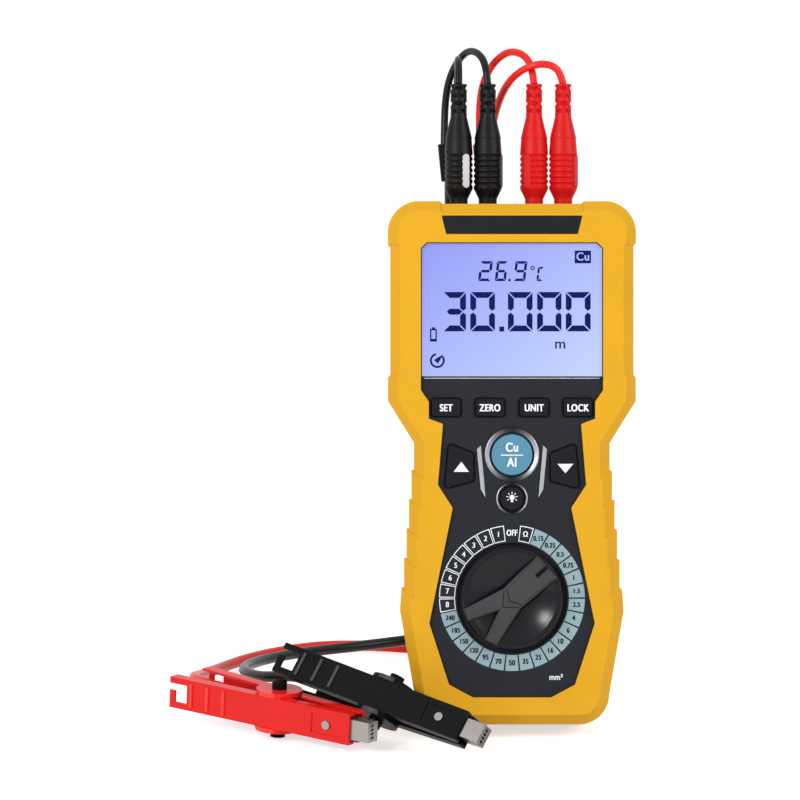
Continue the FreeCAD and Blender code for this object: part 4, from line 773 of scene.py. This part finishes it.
def plug_rings():
    """A raised line round each plug's shoulder, and the bridges across its strain relief."""
    top = sizes().case_height / MM
    for name, place, _, _ in plug_places():
        bpy.ops.object.select_all(action="DESELECT")
        bpy.ops.mesh.primitive_circle_add(vertices=48, radius=RING_RADIUS * MM,
                                          location=(0, 0, (top + RING_UP) * MM))
        ring = bpy.context.object
        bpy.ops.object.mode_set(mode="EDIT")
        bpy.ops.mesh.extrude_region_move(TRANSFORM_OT_translate={"value": (0, 0, RING_HIGH * MM)})
        bpy.ops.object.mode_set(mode="OBJECT")
        reshaped(ring, "SOLIDIFY", thickness=RING_WALL * MM, offset=0)
        reshaped(ring, "BEVEL", width=RING_EDGE * MM, segments=2)
        pieces = [ring]
        for groove in range(GROOVES):
            height = top + GROOVE_UP + GROOVE_PITCH * groove
            for quarter in range(4):
                angle = math.radians(90 * quarter + 45 * groove)
                bpy.ops.mesh.primitive_cube_add(
                    size=1, rotation=(0, 0, angle), scale=[side * MM for side in BRIDGE_SIZE],
                    location=(BRIDGE_OUT * MM * math.cos(angle),
                              BRIDGE_OUT * MM * math.sin(angle), height * MM))
                bpy.ops.object.transform_apply(location=False, rotation=False, scale=True)
                reshaped(bpy.context.object, "BEVEL", width=BRIDGE_EDGE * MM, segments=2)
                pieces.append(bpy.context.object)
        made = joined(pieces, name + "_plug_rings")
        bpy.ops.object.transform_apply(location=True, rotation=True, scale=True)
        bpy.ops.object.shade_smooth_by_angle(angle=SMOOTH)
        settled(made, place @ Matrix.Rotation(-math.pi / 2, 4, "X"), name.split("_")[0] + "_soft",
                "meter", made.name)


# ---------------- cords

def spline_object(points, diameter, key, name):
    """A round cord on one smooth NURBS line through its route's points."""
    drawn = bpy.data.curves.new(name, "CURVE")
    drawn.dimensions = "3D"
    drawn.bevel_depth = diameter / 2
    drawn.bevel_resolution = 5
    drawn.resolution_u = 6
    drawn.use_fill_caps = True
    spline = drawn.splines.new("NURBS")
    spline.points.add(len(points) - 1)
    for point, place in zip(spline.points, points):
        point.co = (*place, 1)
    spline.order_u = 3
    spline.use_endpoint_u = True
    made = bpy.data.objects.new(name, drawn)
    bpy.context.scene.collection.objects.link(made)
    drawn.materials.append(finish(key))
    return made


# each wire's route: across the meter, up from its top and behind its rim
WIRES = {
    "black_wire_outer": (
        (-23.2, 52.8, 26), (-23.2, 60.5, 28.6), (-23.3, 64.9, 35.4), (-23.3, 64, 43.5),
        (-23.4, 58.9, 49.8), (-23.6, 51.7, 53.8), (-23.8, 43.8, 56.2), (-24, 35.6, 57.6),
        (-24.2, 27.4, 58)),
    "black_wire_inner": (
        (-10.3, 52.8, 26), (-11, 61.5, 28.2), (-14.2, 67.4, 35.5), (-19, 69, 44.2),
        (-23.9, 64, 51.3), (-27.4, 56.3, 55.8), (-28.9, 47, 58), (-29.3, 37.2, 58.4),
        (-29.4, 27.4, 58)),
    "red_wire_inner": (
        (10.3, 52.8, 26), (9.5, 60.8, 28.6), (5.9, 66.6, 33.4), (-0.4, 68.4, 38.9),
        (-6.1, 64.9, 44.2), (-10.1, 59.3, 49.2), (-12.6, 52.4, 53.5), (-13.5, 44.5, 56.7),
        (-13.6, 36, 58), (-13.6, 27.4, 58.1)),
    "red_wire_outer": (
        (23.2, 52.8, 26), (21.9, 58.4, 25), (17.4, 61.5, 23.6), (11.4, 61.6, 23.5),
        (5.6, 59.5, 26), (0.8, 56, 30.7), (-2.5, 51.6, 36.6), (-4.9, 46.4, 42.8),
        (-6.7, 40.6, 48.8), (-7.9, 34.2, 54.2), (-8.4, 27.4, 58)),
}


def wires():
    """The four thin wires that arch back from the plugs to the boots."""
    top = sizes().case_height
    for name, route in WIRES.items():
        points = [face_point(x * MM, top + y * MM, depth * MM) for x, y, depth in route]
        made = spline_object(points, sizes().wire, name.split("_")[0] + "_cord", name + "_cord")
        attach(made, "meter")
        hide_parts(name)


# each lead's route down from its boot, its route from the coil to its clip, both from the
# foot's line, and the degrees at which its coil begins and ends
LEADS = {
    "black": ((
        (-26.8, 56.7, 235), (-26.7, 59.2, 215.2), (-25.4, 63.6, 195.9), (-22.2, 67.8, 176.7),
        (-17.6, 71.6, 157.8), (-11.2, 74.3, 139.1), (-4.2, 76, 120.5), (3.2, 77.2, 102.1),
        (10.9, 77.9, 83.8), (18.5, 79, 65.4), (24.7, 81.6, 46.7), (28.3, 87.6, 28.3),
        (29, 103, 17.6)), (
        (4, 129, 12.7), (-16.8, 129.4, 11.7), (-37.4, 127.9, 9.4), (-57.2, 122, 8),
        (-75.2, 111.9, 8.1), (-91, 98.6, 9.2), (-104.3, 82.8, 10.7), (-114.2, 64.5, 12.3),
        (-120, 44.6, 14.2), (-119.7, 24.1, 16.2), (-111, 5.5, 18)),
        0, 450),
    "red": ((
        (-11, 56.7, 235), (-11.6, 57.7, 214.7), (-13.2, 59, 194.4), (-15.3, 60.1, 174.2),
        (-17.7, 61, 154), (-20.1, 61.8, 133.7), (-22.2, 62.5, 113.5), (-24.2, 63.1, 93.2),
        (-26, 63.6, 72.9), (-27, 64.1, 52.5), (-26, 64.6, 32.3), (-18, 65, 14), (0, 65.4, 7.5)), (
        (-2, 123, 2.6), (-21.6, 126.3, 2.8), (-41.5, 134, 2.9), (-62.7, 139.8, 3),
        (-85.2, 138.9, 3.1), (-104.7, 127.8, 3), (-120.1, 111.2, 3.2), (-130.5, 91.2, 3.8),
        (-137, 69.6, 5.9), (-140.8, 47.6, 9.2), (-142.8, 25.5, 13.8)),
        -90, 450),
}
INTO_CLIP = ((-3, 4.8, 0), (10, 4.1, 0), (25, 3.9, 0), (40, 3.9, 0))


COIL_STEP = 24          # degrees from one point of a coil to the next


def coil_turns(side, start, stop, top, low):
    """Points round the coil, from one angle to another in degrees, sinking as they go."""
    centre = sum(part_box(side + "_coil"), Vector()) / 2
    count = round((stop - start) / COIL_STEP)
    points = []
    for step in range(1, count):
        share = step / count
        angle = math.radians(start + (stop - start) * share)
        out = Vector((math.cos(angle), math.sin(angle), 0)) * sizes().coil
        points.append(Vector((centre.x, centre.y, top + (low - top) * share)) + out)
    return points


def leads():
    """The two leads, each from its boot down behind the meter, round its coil and to its clip."""
    foot = foot_line()
    for side, (down, out, start, stop) in LEADS.items():
        falling = [Vector(place) * MM + foot for place in down]
        leaving = [Vector(place) * MM + foot for place in out]
        turns = coil_turns(side, start, stop, falling[-1].z, leaving[0].z)
        inside = [clip_matrix(side) @ (Vector(place) * MM) for place in INTO_CLIP]
        route = falling[:-1] + turns + leaving[1:] + inside
        made = spline_object(route, sizes().lead, side + "_cord", side + "_lead_cord")
        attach(made, "meter")
        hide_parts(side + "_lead", side + "_coil")


# each clip's place from the foot's line, and its turns about z, y and x in degrees
CLIPS = {
    "black": ((-102.9, -26.7, 35.1), (-32, 11.7, -35)),
    "red": ((-151.8, -10.8, 15.3), (-34.2, 2.8, 0)),
}
CLIP_PIVOT = Vector((53, 9.2, 0)) * MM
CLIP_CLOSED = math.radians(10.08)


def front_arm_matrix(side):
    """The frame of a clip's moving arm: x from its open end to its nose, y inward, z across."""
    place, (heading, dip, roll) = CLIPS[side]
    return (Matrix.Translation(Vector(place) * MM + foot_line())
            @ Matrix.Rotation(math.radians(heading), 4, "Z")
            @ Matrix.Rotation(math.radians(dip), 4, "Y")
            @ Matrix.Rotation(math.radians(roll), 4, "X"))


def clip_matrix(side):
    """The frame of a clip's fixed arm: the moving arm's, turned over at the pivot."""
    return (front_arm_matrix(side) @ Matrix.Translation(CLIP_PIVOT)
            @ Matrix.Rotation(-CLIP_CLOSED, 4, "Z") @ Matrix.Rotation(math.pi, 4, "X")
            @ Matrix.Translation(-CLIP_PIVOT))


# ---------------- stage

SENSOR = 36             # millimetres
FLOOR_SIZE, FLOOR_PLACE = 8, (0, 1, -0.0004)
LAMP_AIM = Vector((0, 0, 0.1))
LAMPS = (("key", (-1.1, -0.9, 1.0), 0.75), ("fill", (1.1, -0.75, 0.8), 0.8),
         ("middle", (-0.76, -1.25, 0.7), 0.25))


def area_lamp(name, place, size, watts):
    """A round lamp that shines on the object."""
    bpy.ops.object.light_add(type="AREA", location=place)
    made = bpy.context.object
    made.name = name
    made.data.shape = "DISK"
    made.data.size = size
    made.data.energy = watts
    made.rotation_euler = (LAMP_AIM - Vector(place)).to_track_quat("-Z", "Y").to_euler()


def seen_level(tree, lit, seen, end, entering):
    """Gives an input one strength for light that falls on things, another for what is seen."""
    ray = node(tree, "LightPath")
    first, second = (node(tree, "Math", operation="MAXIMUM") for _ in range(2))
    level = node(tree, "MapRange", {"To Min": lit, "To Max": seen})
    link(tree,
         (ray, "Is Camera Ray", first, 0), (ray, "Is Glossy Ray", first, 1),
         (first, "Value", second, 0), (ray, "Is Transmission Ray", second, 1),
         (second, "Value", level, "Value"), (level, "Result", end, entering))


def stage():
    """The camera, the lamps, the white floor and the white surroundings."""
    scene = bpy.context.scene
    setting = scene.counter_stage
    scene.view_settings.view_transform = "Standard"
    face = meter_matrix() @ Vector((setting.centre_x, setting.centre_up, 0))
    bpy.ops.object.camera_add(location=face + FACE_NORMAL * setting.distance)
    camera = bpy.context.object
    camera.rotation_euler = (-FACE_NORMAL).to_track_quat("-Z", "Y").to_euler()
    camera.data.sensor_width = SENSOR
    camera.data.lens = SENSOR * setting.distance / setting.width
    camera.data.clip_end = 20
    scene.camera = camera

    # the floor stays white to the camera but takes the object's soft shadow
    bpy.ops.mesh.primitive_plane_add(size=FLOOR_SIZE, location=FLOOR_PLACE)
    floor = bpy.context.object
    floor.name = "floor"
    white, tree, shader = material("floor_white", {
        "Base Color": (0.8, 0.8, 0.8, 1), "Roughness": 0.9, "Specular IOR Level": 0,
        "Emission Color": (1, 1, 1, 1)})
    seen_level(tree, 0, 0.62, shader, "Emission Strength")
    floor.data.materials.append(white)

    world = bpy.data.worlds.new("surroundings")
    scene.world = world
    world.use_nodes = True
    back = give(world.node_tree.nodes["Background"], {"Color": (1, 1, 1, 1)})
    seen_level(world.node_tree, 0.5, 1, back, "Strength")
    for name, place, size in LAMPS:
        area_lamp(name + "_lamp", place, size, getattr(setting, name + "_light"))


# ---------------- softened pieces

WELD = 0.002 * MM           # corners that lie closer are one
LEVEL = math.radians(0.5)   # faces that meet at less than this are one
SHARP = math.radians(30)    # edges that bend more than this are rounded


def softened(name, body, key, bevel):
    """A copy of a CAD node's clean mesh with rounded edges, standing for the node."""
    only(NODES[name])
    bpy.ops.object.duplicate()
    made = bpy.context.object
    for mark in list(made.keys()):
        del made[mark]
    made.parent = None
    made.matrix_world = Matrix.Identity(4)
    made.name = name + "_finished"
    bpy.ops.object.mode_set(mode="EDIT")
    bpy.ops.mesh.select_all(action="SELECT")
    bpy.ops.mesh.remove_doubles(threshold=WELD)
    bpy.ops.mesh.dissolve_limited(angle_limit=LEVEL)
    bpy.ops.object.mode_set(mode="OBJECT")
    reshaped(made, "BEVEL", width=bevel * MM, segments=2, limit_method="ANGLE",
             angle_limit=SHARP, use_clamp_overlap=True)
    bpy.ops.object.shade_smooth_by_angle(angle=SMOOTH)
    reshaped(made, "WEIGHTED_NORMAL", weight=80, keep_sharp=True)
    made.data.materials.clear()
    made.data.materials.append(finish(key))
    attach(made, body)
    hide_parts(name)


def soften_all(pieces):
    """Softens some pieces."""
    for piece in pieces:
        softened(*piece)


def second_tone(name, key, chosen):
    """Gives another finish to those faces of a softened piece that are chosen."""
    made = bpy.data.objects[name + "_finished"]
    made.data.materials.append(finish(key))
    for face in made.data.polygons:
        if chosen(face):
            face.material_index = 1


# each piece's node, body, finish and the width of its rounded edges
CASE = (("front_case", "meter", "case", 0.8), ("rear_case", "meter", "case", 0.8),
        ("battery_cover", "meter", "face", 0.4), ("tilt_stand", "stand", "face", 0.4))
FACE = (("face_panel", "meter", "face", 0.25), ("name_plate", "meter", "plate", 0.15),
        ("accent_bar_left", "meter", "bar", 0.2), ("accent_bar_right", "meter", "bar", 0.2),
        ("metal_key_ring", "meter", "large_ring", 0.15),
        ("light_key_ring", "meter", "small_ring", 0.15))
KNOB = (("selector_knob", "selector", "knob", 0.35),)
PLUGS = (("black_plug_outer", "meter", "black_soft", 0.15),
         ("black_plug_inner", "meter", "black_soft", 0.15),
         ("red_plug_outer", "meter", "red_soft", 0.15),
         ("red_plug_inner", "meter", "red_soft", 0.15),
         ("black_boot", "meter", "black_soft", 0.5), ("red_boot", "meter", "red_soft", 0.5))


def painted_face_gap_shade():
    """Paints the face panel's narrow edges, round its border and its holes, dark: painted shade of
    the gap they lie in.
    """
    second_tone("face_panel", "dark", lambda face: face.normal.dot(FACE_NORMAL) < 0.95)


def key_pieces():
    """The keys, as softened() takes them."""
    for key in KEYS:
        yield key, key + "_cap", "key", 0.35
    yield "metal_key", "metal_key_cap", "blue_key", 0.4


def clip_pieces():
    """The clips' arms and jaws, as softened() takes them."""
    # the black clip's jaws get the darker nickel copy, a painted dark reflection
    for side, jaw_finish in (("black", "dull_nickel"), ("red", "nickel")):
        grip = side + "_front_grip"
        yield side + "_front_arm", grip, side, 0.35
        yield side + "_rear_arm", "meter", side, 0.35
        yield side + "_front_jaw", grip, jaw_finish, 0.12
        yield side + "_rear_jaw", "meter", jaw_finish, 0.12


RIB_RISE = 0.15 * MM    # what stands farther out of a clip's arm is a rib


def painted_rib_highlights():
    """Paints the clips' finger ribs a little paler than the arms: a painted highlight on the ribs.
    """
    for side in CLIPS:
        for arm, arm_frame in (("_front_arm", front_arm_matrix), ("_rear_arm", clip_matrix)):
            to_arm = arm_frame(side).inverted()
            second_tone(side + arm, side + "_rib",
                        lambda face: (to_arm @ face.center).y < -RIB_RISE)


# millimetres from the knob's middle, with the dial at OFF
# painted shade: dark lines along the handle's step and roots, and a dark fill in the pointer's
# groove
HANDLE_STEP = ((-2.2, 4.55), (-1.2, -1.1), (4.3, -2.8))
HANDLE_ROOTS = ((-3.63, 3.46), (-4.3, -3.85), (3.06, -3.97))
HANDLE_GROOVE = ((9.9, 10.1), (10.9, 9), (15.9, 13.3), (14.8, 14.4))
HALF_LINE = 0.16
# metres out of the face, and from the knob's middle
HANDLE_OUT, DISH_OUT, SHADE_LINES_OUT, GROOVE_SHADE_OUT = 2.9 * MM, -1.1 * MM, 5.2 * MM, 4.6 * MM
DISH_RADIUS = 21.4 * MM


def two_toned_knob():
    """The knob's raised pointer is matt and its dish and rim are glossy; its handle's step and
    roots and its pointer's groove get painted shade.
    """
    hub = face_point(0, sizes().dial_height)
    up = sizes().dial_height / MM

    def matt(face):
        """Tells the faces of the pointer and of the dish's wall from the others."""
        out = (face.center - hub).dot(FACE_NORMAL)
        across = (face.center - hub - FACE_NORMAL * out).length
        return out > HANDLE_OUT or (face.normal.dot(FACE_NORMAL) < 0.5 and out > DISH_OUT
                                    and across < DISH_RADIUS)

    def on_knob(outline):
        """A mark whose outline is told from the knob's middle."""
        return flat([(x, y + up) for x, y in outline])

    second_tone("selector_knob", "pointer", matt)
    # painted shade along the handle's step and roots
    shade_lines = []
    for bends in (HANDLE_STEP, HANDLE_ROOTS):
        for start, end in zip(map(Vector, bends), map(Vector, bends[1:])):
            along = (end - start).normalized()
            aside = Vector((-along.y, along.x)) * HALF_LINE
            shade_lines.append(on_knob((start - aside, start + aside, end + aside, end - aside)))
    printed(shade_lines, "dark", "selector", "knob_lines", -SHADE_LINES_OUT)
    printed([on_knob(HANDLE_GROOVE)], "dark", "selector", "pointer_mark", -GROOVE_SHADE_OUT)


# ---------------- operators

class MakeStage(bpy.types.Operator):
    """Sets up the camera, the lamps and the floor"""
    bl_idname = "counter.make_stage"
    bl_label = "Set the stage"

    def execute(self, context):
        stage()
        return {"FINISHED"}


class MakeCase(bpy.types.Operator):
    """Finishes the two case halves, the battery cover, the stand and the screws"""
    bl_idname = "counter.make_case"
    bl_label = "Finish the case"

    def execute(self, context):
        soften_all(CASE)
        dress("steel", "case_screws", "cover_screw")
        return {"FINISHED"}


class MakeFace(bpy.types.Operator):
    """Finishes the face panel, the name plate, the accent bars and the rings"""
    bl_idname = "counter.make_face"
    bl_label = "Finish the face"

    def execute(self, context):
        soften_all(FACE)
        painted_face_gap_shade()
        return {"FINISHED"}


class MakeDisplay(bpy.types.Operator):
    """Lights the display and draws its figures"""
    bl_idname = "counter.make_display"
    bl_label = "Light the display"

    def execute(self, context):
        dress("window", "display_window")
        dress("screen", "lcd_panel")
        dress("diffuser", "backlight_panel")
        display_marks()
        return {"FINISHED"}


class MakeKeys(bpy.types.Operator):
    """Finishes the eight keys and prints their signs"""
    bl_idname = "counter.make_keys"
    bl_label = "Finish the keys"

    def execute(self, context):
        soften_all(key_pieces())
        key_surrounds()
        key_marks()
        return {"FINISHED"}


class MakeDial(bpy.types.Operator):
    """Finishes the selector knob and prints its ring of places"""
    bl_idname = "counter.make_dial"
    bl_label = "Finish the dial"

    def execute(self, context):
        soften_all(KNOB)
        two_toned_knob()
        dial_marks()
        return {"FINISHED"}


class MakeInside(bpy.types.Operator):
    """Finishes the board, the key mat, the cells, the sockets and the selector's parts"""
    bl_idname = "counter.make_inside"
    bl_label = "Finish the inside"

    def execute(self, context):
        dress("board", "circuit_board", "selector_wafer")
        dress("mat", "key_mat")
        dress("dark", "socket_block")
        dress("cell", "battery_cells")
        dress("steel", "detent_spring")
        dress("nickel", "socket_sleeves")
        return {"FINISHED"}


class MakePlugs(bpy.types.Operator):
    """Finishes the four plugs, their pins and the two boots"""
    bl_idname = "counter.make_plugs"
    bl_label = "Finish the plugs"

    def execute(self, context):
        soften_all(PLUGS)
        dress("nickel", "black_plug_pins", "red_plug_pins")
        grip_strips()
        plug_rings()
        return {"FINISHED"}


class MakeClips(bpy.types.Operator):
    """Finishes the two sprung clips"""
    bl_idname = "counter.make_clips"
    bl_label = "Finish the clips"

    def execute(self, context):
        soften_all(clip_pieces())
        painted_rib_highlights()
        dress("nickel", "black_clip_spring", "red_clip_spring")
        dress("black", "black_pivot_pin", "red_pivot_pin")
        return {"FINISHED"}


class MakeWires(bpy.types.Operator):
    """Lays the four thin wires from the plugs to the boots"""
    bl_idname = "counter.make_wires"
    bl_label = "Lay the wires"

    def execute(self, context):
        wires()
        return {"FINISHED"}


class MakeLeads(bpy.types.Operator):
    """Lays the two leads from the boots to the clips"""
    bl_idname = "counter.make_leads"
    bl_label = "Lay the leads"

    def execute(self, context):
        leads()
        return {"FINISHED"}


class CounterPanel(bpy.types.Panel):
    """The sidebar panel with the settings and the buttons"""
    bl_label = "Cable Length Counter"
    bl_idname = "VIEW3D_PT_cable_length_counter"
    bl_space_type = "VIEW_3D"
    bl_region_type = "UI"
    bl_category = "Counter"

    def draw(self, context):
        for group in SETTINGS:
            settings = getattr(context.scene, group)
            column = self.layout.column()
            for name in settings.__annotations__:
                column.prop(settings, name)
        for operator in OPERATORS:
            self.layout.operator(operator.bl_idname)


OPERATORS = (MakeStage, MakeCase, MakeFace, MakeDisplay, MakeKeys, MakeDial, MakeInside, MakePlugs,
             MakeClips, MakeWires, MakeLeads)
SETTINGS = {"counter_sizes": CounterSizes, "counter_colours": CounterColours,
            "counter_stage": StageSettings}
CLASSES = (*SETTINGS.values(), *OPERATORS, CounterPanel)


def register():
    """Makes the settings, the buttons and the panel known to Blender."""
    for made in CLASSES:
        bpy.utils.register_class(made)
    for name, made in SETTINGS.items():
        setattr(bpy.types.Scene, name, bpy.props.PointerProperty(type=made))


def unregister():
    """Takes them out again."""
    for name in SETTINGS:
        delattr(bpy.types.Scene, name)
    for made in reversed(CLASSES):
        bpy.utils.unregister_class(made)


def main():
    """Builds the whole scene."""
    register()
    for operator in OPERATORS:
        getattr(bpy.ops.counter, operator.bl_idname.partition(".")[2])()


if __name__ == "__main__":
    main()
